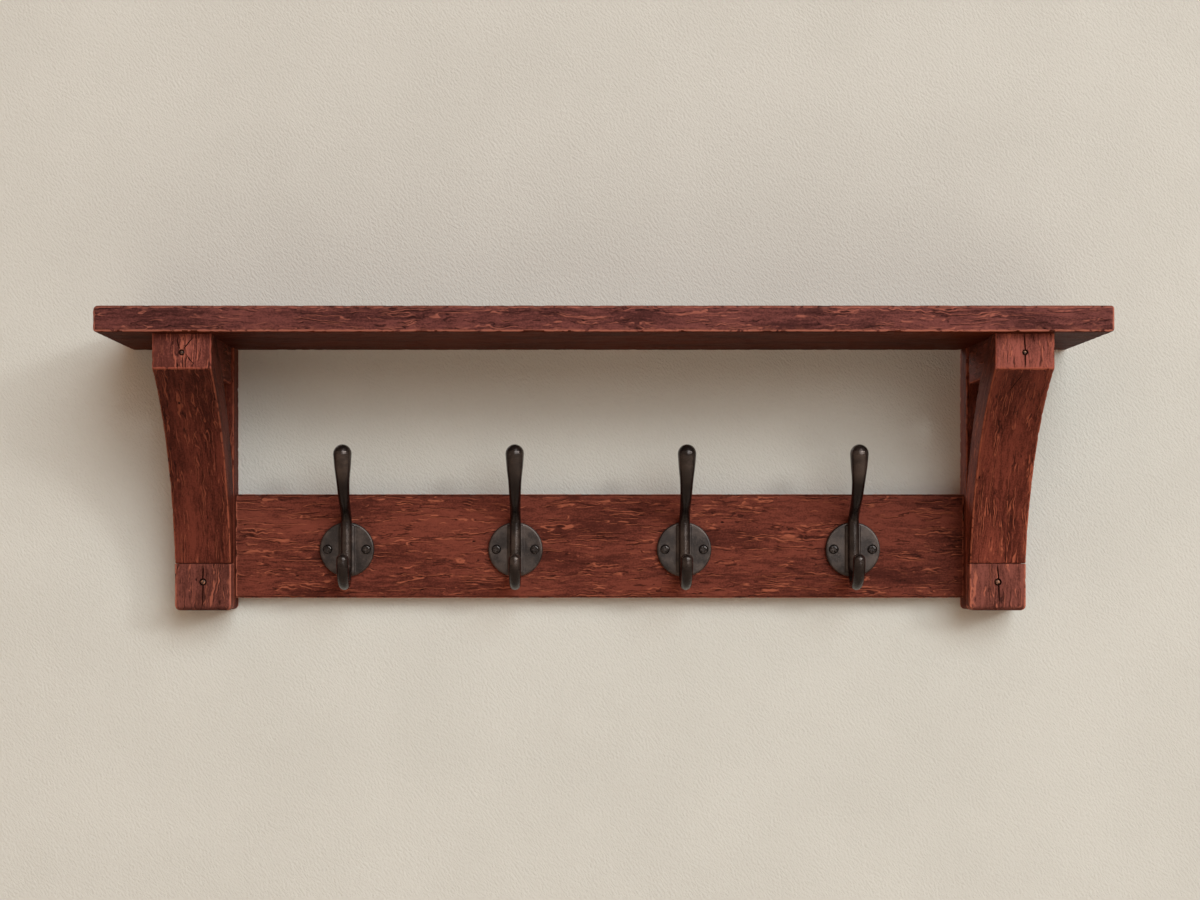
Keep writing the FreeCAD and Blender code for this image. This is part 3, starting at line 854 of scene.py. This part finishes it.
def curved_crack_points(side_name, line):
    """Points of a crack on the curved front at given levels."""
    centre = arc_centre(*front_arc_of(side_name))
    nail = centre_of(side_name + "_brace_nail")
    points = []
    for aside, level in line:
        front = centre.y + math.sqrt(BRACE_FRONT_RADIUS**2 - (level * MM - centre.z) ** 2)
        points.append((nail.x + aside * MM, front, level * MM))
    return points


brace_guides = {}
for side_name in bracket_names:
    low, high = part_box(side_name + "_brace")
    foot_low, foot_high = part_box(side_name + "_foot_block")
    post_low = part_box(side_name + "_post")[0]
    brace = add_brace(side_name + "_brace_piece", low, high, post_low.y, foot_low.y, foot_high.z)
    brace_guides[side_name] = copy_of(brace, side_name + "_brace_guide")
    guide = copy_of(brace, "brace_guide")
    for vert in guide.data.vertices:
        vert.co.z -= JOINT_OVERRUN * (vert.co.z < foot_high.z + NEAR)
        vert.co.z += JOINT_OVERRUN * (vert.co.z > high.z - NEAR)
    joints = (at_level(2, high.z), at_level(2, foot_high.z), at_level(1, post_low.y))

    def is_free(a, b):
        return not any(lies_on(a, b) for lies_on in joints)

    ease(brace, WOOD_EDGE_RADIUS, WOOD_EDGE_STEPS, is_free, sharp=True)
    ease(brace, JOINT_EDGE, 1, rim_at(foot_high.z, post_low.y), sharp=True)
    rule_lines(brace, 0, WOOD_RULE)
    divide_long(brace, LONG_EDGE, WOOD_RULE)
    scrape(brace, guide, WOOD_EDGE_RADIUS, *BRACE_SCRAPE)
    nail = side_name + "_brace_nail"
    cut(brace, [nail_hole(nail, low.y)], 2)
    lines = [crack_points(nail, low.y, line) for line in HEAD_CRACKS[side_name]]
    for points in lines + [curved_crack_points(side_name, line) for line in BRACE_CRACKS[side_name]]:
        cut(brace, [crack_in(points)], 2)
    dress(brace, brace_wood, (side_name + "_brace",))
    brace.data.materials[1] = head_wood
    brace.data.materials[2] = crack_shade_wood
    for face in brace.data.polygons:
        at_head = face.center.z > high.z - HEAD_HEIGHT and face.center.y < low.y + WOOD_EDGE_RADIUS
        if face.material_index == 0 and at_head:
            face.material_index = 1


# Foot blocks. A small block under each brace, glued and nailed to the post, with its lower
# edges well rounded and a crack through its nail.

LOWER_END_RADIUS = 0.004
LOWER_END_STEPS = 5
FOOT_SCRAPE = ((60.0, 60.0, 24.0), 0.0002, 0.0005)
# Painted light and shade on the foot blocks: lighter towards the right, and darker at the rounded bottom.
FOOT_LIGHT_AND_SHADE = ((0, -0.3, 0.3, 1.08, 1.32), (2, -0.1365, -0.1400, 1.0, 0.55))
FOOT_CRACK_RADIUS = 0.0013
FOOT_CRACKS = {
    "left": ((0.0, 14.4), (0.2, 9.0), (-0.2, 3.0), (0.1, -4.0), (-0.2, -15.8), (0.0, -21.0)),
    "right": ((-0.2, 14.6), (-0.2, 10.0), (0.4, 3.8), (0.6, -3.3), (0.9, -12.0), (1.0, -20.5)),
}


def score(piece, level):
    """Draws a level line round a piece, so that the faces beside a rounding stay four-sided."""
    open_mesh(piece, "FACE", "SELECT")
    bpy.ops.mesh.bisect(plane_co=(0, 0, level), plane_no=(0, 0, 1))
    close_mesh()


def ease_by_share(piece, radius, steps, shares):
    """Rounds edges at once, each by its share of one radius, so that the corners close."""
    weights = piece.data.attributes.new("bevel_weight_edge", "FLOAT", "EDGE")
    for edge in piece.data.edges:
        a, b = (piece.data.vertices[i].co for i in edge.vertices)
        weights.data[edge.index].value = max((share for share, test in shares if test(a, b)), default=0.0)
    bevel = piece.modifiers.new("ease", "BEVEL")
    bevel.limit_method = "WEIGHT"
    bevel.offset_type = "OFFSET"
    bevel.width = radius
    bevel.segments = steps
    bevel.use_clamp_overlap = False
    apply_modifier(piece, bevel)


block_wood = stained_wood(
    "block_wood",
    ALONG_Z,
    dark=(72, 37, 30),
    light=(116, 64, 54),
    streak=(156, 88, 68),
    crack=(44, 22, 18),
    worn=(180, 104, 82),
    light_and_shade=FOOT_LIGHT_AND_SHADE,
)
for side_name in bracket_names:
    low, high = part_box(side_name + "_foot_block")
    foot = add_block(side_name + "_foot", low, high)
    guide = add_block("foot_guide", low, high + Vector((0, 0, JOINT_OVERRUN)))
    ease(guide, LOWER_END_RADIUS, LOWER_END_STEPS, rim_at(low.z, high.y))
    shares = (
        (1.0, rim_at(low.z, high.y)),
        (WOOD_EDGE_RADIUS / LOWER_END_RADIUS, line_at(1, low.y, 2)),
        (JOINT_EDGE / LOWER_END_RADIUS, rim_at(high.z, high.y)),
    )
    ease_by_share(foot, LOWER_END_RADIUS, LOWER_END_STEPS, shares)
    score(foot, low.z + LOWER_END_RADIUS)
    rule_faces(foot, WOOD_RULE)
    scrape(foot, guide, WOOD_EDGE_RADIUS, *FOOT_SCRAPE)
    nail = side_name + "_foot_nail"
    cut(foot, [nail_hole(nail, low.y)], 1)
    cut(foot, [crack_in(crack_points(nail, low.y, FOOT_CRACKS[side_name]), FOOT_CRACK_RADIUS)], 1)
    dress(foot, block_wood, (side_name + "_foot_block",))
    foot.data.materials[1] = crack_shade_wood


# Nails. A plain steel nail in each head and each foot block, its small head punched below the
# face and turned dull.

NAIL_HEAD_SHARE = 0.7
NAIL_HEAD_THICKNESS = 0.0016
NAIL_HEAD_ROUND = 0.0008
NAIL_SHANK_RADIUS = 0.0009
PIN_ROUND_STEPS = 5
PIN_SMOOTH_ANGLE = 40
PIT_RADIUS = 0.0005
PIT_SIDES = 16
SKIN_SCALE = 700.0
SKIN_FADE = (0.4, 0.65)
SKIN_BUMP = 0.0001


def old_steel(name, first, second, rough, metal):
    """Metal with a dull skin in two tones."""
    material, where = new_material(name)
    skin = speckle(where, SKIN_SCALE, 3.0, FINE_ROUGHNESS)
    colour = tint(fade(skin, *SKIN_FADE), paint(first), paint(second))
    show(surface(colour, skin, SKIN_BUMP, {"Metallic": metal, "Roughness": rough}))
    return material


def add_peg(name, centre, start, end, radius, sides=48):
    """A round bar straight towards or away from the wall, round a centre."""
    return add_rod(name, (centre.x, start, centre.z), (centre.x, end, centre.z), radius, sides)


def add_pin(name, centre, front, back, head_radius, head_thickness, head_round, shank_radius):
    """A round head with a rounded front and a plain shank behind it, in one piece."""
    neck = front + head_thickness
    pin = add_peg(name, centre, front, neck, head_radius)
    ease(pin, head_round, PIN_ROUND_STEPS, at_level(1, front))
    open_mesh(pin, "FACE")
    mesh = bmesh.from_edit_mesh(pin.data)
    for face in mesh.faces:
        face.select_set(all(vert.co.y > neck - NEAR for vert in face.verts))
    bmesh.update_edit_mesh(pin.data)
    bpy.ops.mesh.inset(thickness=head_radius - shank_radius)
    bpy.ops.mesh.extrude_region_move(TRANSFORM_OT_translate={"value": (0, back - neck, 0)})
    close_mesh()
    return pin


nail_steel = old_steel("nail_steel", (56, 38, 31), (186, 124, 92), rough=0.35, metal=0.5)
for side_name in bracket_names:
    for holder in ("_brace_nail", "_foot_nail"):
        low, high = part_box(side_name + holder)
        nail = add_pin(
            side_name + holder + "_piece",
            (low + high) / 2,
            low.y,
            high.y,
            NAIL_HEAD_SHARE * (high.x - low.x) / 2,
            NAIL_HEAD_THICKNESS,
            NAIL_HEAD_ROUND,
            NAIL_SHANK_RADIUS,
        )
        centre = (low + high) / 2
        cut(nail, [add_peg("pit", centre, low.y - OVERRUN, low.y + PIT_RADIUS, PIT_RADIUS, PIT_SIDES)])
        smooth(nail, PIN_SMOOTH_ANGLE)
        dress(nail, nail_steel, (side_name + holder,))


# Posts. The upright of each bracket lies against the wall. Its back has a recess for the
# hanger plate, a pocket for the wall screw's head and a hole for the brace's screw.

INNER_SCRAPE_DEPTHS = (0.0004, 0.0009)
POCKET_RADIUS = 0.006
POCKET_RISE = 0.012
POCKET_DEPTH = 0.010
RECESS_CLEARANCE = 0.0001
RECESS_CORNER = 0.0041
RECESS_STEPS = 6
BRACE_SCREW_RECESS = 0.0042
BRACE_SCREW_SEAT = 0.002

inner_stain = {
    "dark": (64, 28, 20),
    "light": (110, 52, 40),
    "streak": (148, 78, 56),
    "crack": (38, 17, 13),
    "worn": (160, 86, 64),
}
post_wood = stained_wood("post_wood", ALONG_Z, **inner_stain)
for side_name in bracket_names:
    low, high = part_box(side_name + "_post")
    post = add_block(side_name + "_upright", low, high)
    ease(post, LOWER_END_RADIUS, LOWER_END_STEPS, line_at(2, low.z, 1))
    score(post, low.z + LOWER_END_RADIUS)
    guide = copy_of(post, "post_guide")
    for vert in guide.data.vertices:
        vert.co.z += JOINT_OVERRUN * (vert.co.z > high.z - NEAR)

    def is_free(a, b):
        return max(a.y, b.y) < high.y - NEAR and min(a.z, b.z) < high.z - NEAR

    ease(post, WOOD_EDGE_RADIUS, WOOD_EDGE_STEPS, is_free, sharp=True)
    rule_faces(post, WOOD_RULE)
    scrape(post, guide, WOOD_EDGE_RADIUS, (60.0, 60.0, 24.0), *INNER_SCRAPE_DEPTHS)
    plate_low, plate_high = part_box(side_name + "_hanger_plate")
    centre_x = (plate_low.x + plate_high.x) / 2
    grow = Vector((RECESS_CLEARANCE, 0, RECESS_CLEARANCE))
    recess = add_block("recess", plate_low - grow, Vector((plate_high.x, OVERRUN, plate_high.z)) + grow)
    ease(recess, RECESS_CORNER, RECESS_STEPS, runs_along(1))
    screw_low, screw_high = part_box(side_name + "_brace_screw")
    screw_centre = Vector((centre_x, 0, (screw_low.z + screw_high.z) / 2))
    seat_front = screw_high.y - BRACE_SCREW_SEAT
    cut(post, [recess, add_peg("screw_seat", screw_centre, seat_front, OVERRUN, BRACE_SCREW_RECESS)])
    pocket_back = -OVERRUN / 2
    for level in (0, POCKET_RISE):
        centre = Vector((centre_x, 0, level))
        cut(post, [add_peg("pocket_end", centre, -POCKET_DEPTH, pocket_back, POCKET_RADIUS)])
    pocket_low = (centre_x - POCKET_RADIUS, -POCKET_DEPTH, 0)
    cut(post, [add_block("pocket", pocket_low, (centre_x + POCKET_RADIUS, pocket_back, POCKET_RISE))])
    dress(post, post_wood, (side_name + "_post",))


# Arms. The level piece of each bracket, dowelled to the post and screwed to the shelf from
# above, with its front end cut to the brace's curve.

arm_wood = stained_wood("arm_wood", ALONG_Y, **inner_stain)
for side_name in bracket_names:
    low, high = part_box(side_name + "_arm")
    arm = add_block(side_name + "_arm_piece", low, high)
    guide = add_block("arm_guide", low, high + Vector((0, 0, JOINT_OVERRUN)))
    ease(arm, WOOD_EDGE_RADIUS, WOOD_EDGE_STEPS, line_at(2, low.z, 1), sharp=True)
    rule_faces(arm, WOOD_RULE)
    scrape(arm, guide, WOOD_EDGE_RADIUS, (60.0, 24.0, 60.0), *INNER_SCRAPE_DEPTHS)
    cut(arm, [brace_guides[side_name]])
    dress(arm, arm_wood, (side_name + "_arm",))


# Hook rail. One board between the posts, flush with their backs and dowelled into them,
# with the hooks screwed to its face.

RAIL_EDGE_RADIUS = 0.001
RAIL_SCRAPE = ((24.0, 60.0, 60.0), 0.0004, 0.0008)
# Painted shadow: the rail darker towards its right end, by the right bracket, and painted shade just inside
# its lower and upper edges.
RAIL_SHADOW = (0, 0.12, 0.29, 1.0, 0.88)
RAIL_SHADE_BAND = (0.0019, 0.0013, 0.0007, 0.0004)
RAIL_SHADE_SHARE = 0.35

rail_low, rail_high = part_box("hook_rail")
rail_wood = stained_wood(
    "rail_wood",
    ALONG_X,
    dark=(74, 33, 25),
    light=(122, 60, 46),
    streak=(168, 92, 67),
    crack=(44, 19, 14),
    worn=(176, 98, 74),
    light_and_shade=(
        RAIL_SHADOW,
        *painted_shade_band(rail_low.z, 1, RAIL_SHADE_BAND, RAIL_SHADE_SHARE),
        *painted_shade_band(rail_high.z, -1, RAIL_SHADE_BAND, RAIL_SHADE_SHARE),
    ),
)
rail = add_block("rail", rail_low, rail_high)
rail_guide = copy_of(rail, "rail_guide")
ease(rail, RAIL_EDGE_RADIUS, WOOD_EDGE_STEPS, line_at(1, rail_low.y, 0))
rule_faces(rail, WOOD_RULE)
scrape(rail, rail_guide, RAIL_EDGE_RADIUS, *RAIL_SCRAPE)
dress(rail, rail_wood, ("hook_rail",))


# Hooks. Each is one iron casting: a round plate with a raised band, a stem, a tall prong with
# a ball end above and a crook with a small ball below, browned and rubbed on its high places.

PLATE_RADIUS = 0.022
PLATE_THICKNESS = 0.0035
PLATE_RIM = 0.0012
RIM_STEPS = 4
PLATE_SIDES = 96
BAND_HALF = 0.006
BAND_THICKNESS = 0.0012
BAND_MARGIN = 0.0008
BAR_RADIUS = 0.0046
BAR_REACH = 0.007
STEM_TOP = 0.0225
STEM_KNOT_SHARE = 0.4
CROOK_RADIUS = 0.016
CROOK_DROP = 0.0278
CROOK_TIP_RISE = 0.0035
CROOK_TIP_RADIUS = 0.005
CROOK_TAPER = 8
PRONG_REACH = 0.0401
PRONG_HEIGHT = 0.0756
PRONG_BALL_RADIUS = 0.0074
NECK_RADIUS = 0.0042
PRONG_REACH_SHARES = (0.0, 0.04, 0.22, 0.47, 0.70, 0.87, 0.96, 1.0)
PRONG_RISE_SHARES = (0.0, 0.06, 0.17, 0.28, 0.43, 0.61, 0.80, 1.0)
PRONG_SWELL_SHARES = (0.08, 0.05, 0.03, 0.08, 0.19, 0.39, 0.74, 1.0)
PRONG_STEPS = 5
DOME_ANGLES = (20, 40, 58, 72, 83)
BAR_SIDES = 24
CROOK_STEPS = 24
TIP_SEGMENTS = 32
TIP_RINGS = 20
CAST_VOXEL = 0.0004
SOFTEN_TIMES = 4
SCREW_SEAT_RADIUS = 0.0041
SCREW_SEAT_DEPTH = 0.0012
TIP_HEIGHT = CROOK_RADIUS - CROOK_DROP + CROOK_TIP_RISE


def smooth_line(points, steps):
    """A smooth line through points of any number of values, each span in a number of steps."""
    points = [Vector(point) for point in points]
    ends = [2 * points[0] - points[1]] + points + [2 * points[-1] - points[-2]]
    line = []
    for before, start, end, after in zip(ends, ends[1:], ends[2:], ends[3:]):
        cubic = after - before + 3 * (start - end)
        square = 2 * before - 5 * start + 4 * end - after
        for t in (step / steps for step in range(steps)):
            line.append(start + ((end - before) * t + cubic * t**3 + square * t**2) / 2)
    return line + [points[-1]]


def bar_places():
    """The hook's bar from its lower ball to its upper one, as (reach, height, heading, radius)."""
    places = [(BAR_REACH + 2 * CROOK_RADIUS, TIP_HEIGHT, -math.pi / 2, CROOK_TIP_RADIUS)]
    for step in range(CROOK_STEPS + 1):
        turn = math.pi * step / CROOK_STEPS
        reach = BAR_REACH + CROOK_RADIUS * (1 + math.cos(turn))
        height = CROOK_RADIUS - CROOK_DROP - CROOK_RADIUS * math.sin(turn)
        swell = max(0, 1 - step / CROOK_TAPER)
        radius = BAR_RADIUS + (CROOK_TIP_RADIUS - BAR_RADIUS) * swell
        places.append((reach, height, -math.pi / 2 - turn, radius))
    knots = [(BAR_REACH, STEM_TOP * STEM_KNOT_SHARE, BAR_RADIUS)]
    for reach_share, rise_share, swell in zip(PRONG_REACH_SHARES, PRONG_RISE_SHARES, PRONG_SWELL_SHARES):
        reach = BAR_REACH + reach_share * (PRONG_REACH - BAR_REACH)
        height = STEM_TOP + rise_share * (PRONG_HEIGHT - STEM_TOP)
        knots.append((reach, height, NECK_RADIUS + swell * (PRONG_BALL_RADIUS - NECK_RADIUS)))
    line = smooth_line(knots, PRONG_STEPS)
    headings = [-1.5 * math.pi]
    for before, after in zip(line, line[2:]):
        headings.append(math.atan2(after[1] - before[1], after[0] - before[0]) - 2 * math.pi)
    last = math.atan2(line[-1][1] - line[-2][1], line[-1][0] - line[-2][0])
    headings.append(2 * last - 2 * math.pi - headings[-1])
    places += [(reach, height, heading, radius) for (reach, height, radius), heading in zip(line, headings)]
    reach, height, heading, radius = places[-1]
    for angle in (math.radians(degrees) for degrees in DOME_ANGLES):
        ahead = PRONG_BALL_RADIUS * math.sin(angle)
        top_reach, top_height = reach + ahead * math.cos(heading), height + ahead * math.sin(heading)
        places.append((top_reach, top_height, heading, PRONG_BALL_RADIUS * math.cos(angle)))
    return places


def add_casting(name, centre_x, face, level):
    """Plate, band, bar and lower ball, run together as one casting with soft inner corners."""

    def point(reach, height):
        return Vector((centre_x, face - reach, level + height))

    plate = add_rod(name, point(0, 0), point(PLATE_THICKNESS, 0), PLATE_RADIUS, PLATE_SIDES)
    ease(plate, PLATE_RIM, RIM_STEPS, at_level(1, face - PLATE_THICKNESS))
    inner = PLATE_RADIUS - PLATE_RIM - BAND_MARGIN
    band = add_rod("band", point(0, 0), point(PLATE_THICKNESS + BAND_THICKNESS, 0), inner, PLATE_SIDES)
    for side in (-1, 1):
        open_mesh(band, "FACE", "SELECT")
        edge = (centre_x + side * BAND_HALF, 0, 0)
        bpy.ops.mesh.bisect(plane_co=edge, plane_no=(side, 0, 0), clear_outer=True, use_fill=True)
        close_mesh()
    rings = [(point(reach, height), heading, radius) for reach, height, heading, radius in bar_places()]
    bar = draw_out("bar", BAR_SIDES, rings)
    deselect()
    bpy.ops.mesh.primitive_uv_sphere_add(
        segments=TIP_SEGMENTS, ring_count=TIP_RINGS, radius=CROOK_TIP_RADIUS, location=rings[0][0]
    )
    ball = settle("ball")
    pick_up(plate)
    for part in (band, bar, ball):
        part.select_set(True)
    bpy.ops.object.join()
    fuse = plate.modifiers.new("fuse", "REMESH")
    fuse.mode = "VOXEL"
    fuse.voxel_size = CAST_VOXEL
    apply_modifier(plate, fuse)
    soften = plate.modifiers.new("soften", "SMOOTH")
    soften.factor = 0.5
    soften.iterations = SOFTEN_TIMES
    apply_modifier(plate, soften)
    return plate


IRON_PATCH_SCALE = 90.0
IRON_SKIN_SCALE = 900.0
IRON_PIT_SCALE = 2400.0
IRON_PATCH_FADE = (0.35, 0.68)
IRON_SKIN_FADE = (0.55, 0.75, 0.0, 0.4)
IRON_PIT_HEIGHT = 0.4
IRON_BUMP = 0.00012
IRON_GLOSS = (0.3, 0.7, 0.32, 0.40)
HANDLED_FADE = (-0.0212, -0.0235)
HANDLED_GLOSS = 0.15
# Where shade is painted on the iron: the bend of the prong and the underside of the crook.
NECK_SHADE_TOP_FADE = (-0.028, -0.044)
NECK_SHADE_BOTTOM_FADE = (-0.080, -0.064)
CROOK_SHADE_FADE = (-0.102, -0.110, 0.0, 0.8)


def cast_iron(name):
    """Browned cast iron: a fine sandy skin, brown patches and a soft shine where hands rub it.

    It is darkest in front of the plate, at the bend of the prong and under the crook, where shade is painted
    into its colour."""
    material, where = new_material(name)
    patches = speckle(where, IRON_PATCH_SCALE, 3.0, FINE_ROUGHNESS)
    skin = speckle(where, IRON_SKIN_SCALE, 3.0, FINE_ROUGHNESS)
    pits = speckle(where, IRON_PIT_SCALE, 2.0)
    colour = tint(fade(patches, *IRON_PATCH_FADE), paint((54, 45, 41)), paint((82, 68, 61)))
    colour = tint(fade(skin, *IRON_SKIN_FADE), colour, paint((106, 88, 79)))
    x, y, z = place(material.node_tree, "ShaderNodeSeparateXYZ", {0: where}).outputs
    handled = fade(y, *HANDLED_FADE)
    # Painted shade at the prong's bend and under the crook, away from the plate.
    bend = product(fade(z, *NECK_SHADE_TOP_FADE), fade(z, *NECK_SHADE_BOTTOM_FADE))
    dark = product(maths("MAXIMUM", bend, fade(z, *CROOK_SHADE_FADE)), handled)
    colour = tint(dark, colour, paint((32, 23, 20)))
    gloss = less(fade(patches, *IRON_GLOSS), product(handled, HANDLED_GLOSS))
    height = total(skin, product(pits, IRON_PIT_HEIGHT))
    show(surface(colour, height, IRON_BUMP, {"Metallic": 0.75, "Roughness": gloss}))
    return material


hook_iron = cast_iron("hook_iron")
first_x = centre_of("hook_1").x
hook_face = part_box("hook_1")[1].y
hook_front = hook_face - PLATE_THICKNESS
seat_floor = hook_front + SCREW_SEAT_DEPTH
casting = add_casting("hook_casting_1", first_x, hook_face, centre_of("hook_1_screw_left").z)
seats = []
for place_name in ("left", "right"):
    centre = centre_of("hook_1_screw_" + place_name)
    seats.append(add_peg("seat", centre, hook_front - OVERRUN, seat_floor, SCREW_SEAT_RADIUS))
cut(casting, seats)
smooth(casting, SMOOTH_ANGLE)
for number in ("1", "2", "3", "4"):
    aside = centre_of("hook_" + number).x - first_x
    hook = casting if number == "1" else copy_of(casting, "hook_casting_" + number, aside)
    dress(hook, hook_iron, ("hook_" + number,))


# Hook screws. Raised round heads with a cross recess, blackened, two to a plate.

SCREW_HEAD_RADIUS = 0.00365
SCREW_HEAD_ROUND = 0.0015
SCREW_SHANK_RADIUS = 0.0017
RECESS_LENGTH = 0.0050
RECESS_WIDTH = 0.0014
RECESS_DEPTH = 0.0020
FACES_ASIDE = 0.2

first_node = "hook_1_screw_left"
screw_low, screw_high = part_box(first_node)
screw_centre = (screw_low + screw_high) / 2
screw = add_pin(
    first_node + "_piece",
    screw_centre,
    screw_low.y,
    screw_high.y,
    SCREW_HEAD_RADIUS,
    seat_floor - screw_low.y,
    SCREW_HEAD_ROUND,
    SCREW_SHANK_RADIUS,
)
for half_x, half_z in ((RECESS_LENGTH / 2, RECESS_WIDTH / 2), (RECESS_WIDTH / 2, RECESS_LENGTH / 2)):
    low = (screw_centre.x - half_x, screw_low.y - OVERRUN, screw_centre.z - half_z)
    high = (screw_centre.x + half_x, screw_low.y + RECESS_DEPTH, screw_centre.z + half_z)
    cut(screw, [add_block("recess", low, high)])
smooth(screw, PIN_SMOOTH_ANGLE)
screw_black = old_steel("screw_black", (48, 41, 38), (78, 68, 64), rough=0.2, metal=0.85)
# Painted shade: the cross recess takes a near black colour for the shade inside it.
recess_shade = old_steel("recess_shade", (14, 11, 10), (20, 16, 14), rough=0.6, metal=0.2)
screw.data.materials.append(recess_shade)
for face in screw.data.polygons:
    aside = (face.center - screw_centre) * Vector((1, 0, 1))
    in_recess_shade = face.center.y > screw_low.y + RECESS_DEPTH - NEAR or abs(face.normal.y) < FACES_ASIDE
    face.material_index = int(in_recess_shade and aside.length < RECESS_LENGTH / 2 and face.center.y < seat_floor)
for number in ("1", "2", "3", "4"):
    for place_name in ("left", "right"):
        node = "hook_" + number + "_screw_" + place_name
        aside = centre_of(node).x - screw_centre.x
        piece = screw if node == first_node else copy_of(screw, node + "_piece", aside)
        dress(piece, screw_black, (node,))


# Hidden pieces. Plugs over the shelf screws, beech dowels, steel screws and the zinc-plated
# hanger plates keep the shapes of the solids, and take their own materials.

plug_wood = stained_wood(
    "plug_wood",
    ALONG_X,
    dark=(58, 28, 25),
    light=(100, 52, 46),
    streak=(132, 74, 62),
    crack=(36, 18, 16),
    worn=(132, 74, 62),
)
beech = stained_wood(
    "beech",
    ALONG_X,
    dark=(176, 140, 104),
    light=(206, 172, 134),
    streak=(214, 184, 148),
    crack=(150, 116, 84),
    worn=(206, 172, 134),
)
plate_zinc = old_steel("plate_zinc", (150, 152, 154), (184, 186, 188), rough=0.35, metal=0.9)
yellow_zinc = old_steel("yellow_zinc", (168, 156, 122), (198, 188, 154), rough=0.3, metal=0.95)
hidden_materials = {"plug": plug_wood, "dowel": beech, "hanger_plate": plate_zinc, "screw": yellow_zinc}
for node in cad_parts:
    for word, material in hidden_materials.items():
        if node.startswith(bracket_names) and word in node:
            for slot in bpy.data.objects[node].material_slots:
                slot.material = material


# Wall and floor. A plain plastered wall, seen only from the front, and a pale floor well below.

WALL_SIZE = 6.0
WALL_GAP = 0.0006
FLOOR_LEVEL = -1.1
FLOOR_SIZE = 8.0
MOTTLE_SCALE = 9.0
MOTTLE_FADE = (0.3, 0.7)
STROKE_TURN = -55
STROKE_SCALE = (310.0, 1.0, 600.0)
PLASTER_BUMP = 0.0010

deselect()
upright = (math.radians(90), 0, 0)
bpy.ops.mesh.primitive_plane_add(size=WALL_SIZE, location=(0, WALL_GAP, 0), rotation=upright)
wall = settle("wall")
plaster, where = new_material("plaster")
tree = plaster.node_tree
mottle = fade(speckle(where, MOTTLE_SCALE, 4.0), *MOTTLE_FADE)
# The painter's strokes slant across the wall.
strokes = straight_grain(0, STROKE_TURN, 0)(where)
finer = speckle(strokes, STROKE_SCALE, 3.0, FINE_ROUGHNESS)
colour = tint(mottle, paint((208, 202, 191)), paint((212, 206, 195)))
shader = surface(colour, finer, PLASTER_BUMP, {"Roughness": 0.9, "Specular IOR Level": 0.2})
# The wall is clear from behind and throws no shadow, so that the back is lit and seen.
behind = place(tree, "ShaderNodeNewGeometry").outputs["Backfacing"]
shadow = place(tree, "ShaderNodeLightPath").outputs["Is Shadow Ray"]
clear = place(tree, "ShaderNodeBsdfTransparent").outputs[0]
sides = enumerate((maths("MAXIMUM", behind, shadow), shader, clear))
show(place(tree, "ShaderNodeMixShader", sides).outputs[0])
wall.data.materials.append(plaster)

deselect()
bpy.ops.mesh.primitive_plane_add(size=FLOOR_SIZE, location=(0, 0, FLOOR_LEVEL))
floor = settle("floor")
floor_paint = bpy.data.materials.new("floor_paint")
floor_paint.use_nodes = True
floor_shader = floor_paint.node_tree.nodes["Principled BSDF"]
floor_shader.inputs["Base Color"].default_value = paint((216, 210, 200))
floor_shader.inputs["Roughness"].default_value = 0.85
floor.data.materials.append(floor_paint)


# Lamps and camera. A large soft lamp stands to the upper right in front of the shelf, with
# a smaller one beside it and a weak one behind for the back. The room adds a soft warm light.

ROOM_COLOUR = (1.0, 0.60, 0.37, 1.0)
ROOM_STRENGTH = 0.395
BACKDROP_COLOUR = (0.44, 0.385, 0.33, 1.0)
# Each lamp's name, place, width in metres, power in watts and colour.
LAMPS = (
    ("key_lamp", (3.4, -8.6, 4.2), 7.6, 818.0, (0.76, 0.905, 0.99)),
    ("side_lamp", (6.5, -6.24, 2.73), 1.43, 155.0, (0.9, 0.97, 1.0)),
    ("back_lamp", (-1.5, 2.4, 1.2), 1.5, 45.0, (1.0, 0.95, 0.9)),
)
CAMERA_PLACE = (-0.0378, -1.7587, -0.0892)
CAMERA_LENS = 64.73
CAMERA_SENSOR = 36.0
CAMERA_SHIFT = (0.0392, 0.0797)

world = bpy.data.worlds.new("room")
bpy.context.scene.world = world
world.use_nodes = True
tree = world.node_tree
tree.nodes.clear()
# The room's light falls on everything, but the camera and mirrored rays see the plain backdrop.
rays = place(tree, "ShaderNodeLightPath").outputs
mirrored = maths("MAXIMUM", rays["Is Glossy Ray"], rays["Is Transmission Ray"])
direct = maths("MAXIMUM", rays["Is Camera Ray"], mirrored)
room, backdrop = [
    place(tree, "ShaderNodeBackground", {"Color": colour, "Strength": strength}).outputs[0]
    for colour, strength in ((ROOM_COLOUR, ROOM_STRENGTH), (BACKDROP_COLOUR, 1.0))
]
either = place(tree, "ShaderNodeMixShader", enumerate((direct, room, backdrop))).outputs[0]
place(tree, "ShaderNodeOutputWorld", {"Surface": either})

for name, place_at, size, watts, colour in LAMPS:
    data = bpy.data.lights.new(name, "AREA")
    data.shape = "DISK"
    data.size = size
    data.energy = watts
    data.color = colour
    lamp = bpy.data.objects.new(name, data)
    bpy.context.scene.collection.objects.link(lamp)
    lamp.location = place_at
    lamp.rotation_euler = (-Vector(place_at)).to_track_quat("-Z", "Y").to_euler()

camera_data = bpy.data.cameras.new("camera")
camera_data.sensor_width = CAMERA_SENSOR
camera_data.sensor_fit = "HORIZONTAL"
camera_data.lens = CAMERA_LENS
camera_data.shift_x, camera_data.shift_y = CAMERA_SHIFT
camera = bpy.data.objects.new("camera", camera_data)
bpy.context.scene.collection.objects.link(camera)
camera.location = CAMERA_PLACE
camera.rotation_euler = (math.radians(90), 0, 0)
bpy.context.scene.camera = camera
bpy.context.scene.view_settings.view_transform = "Standard"
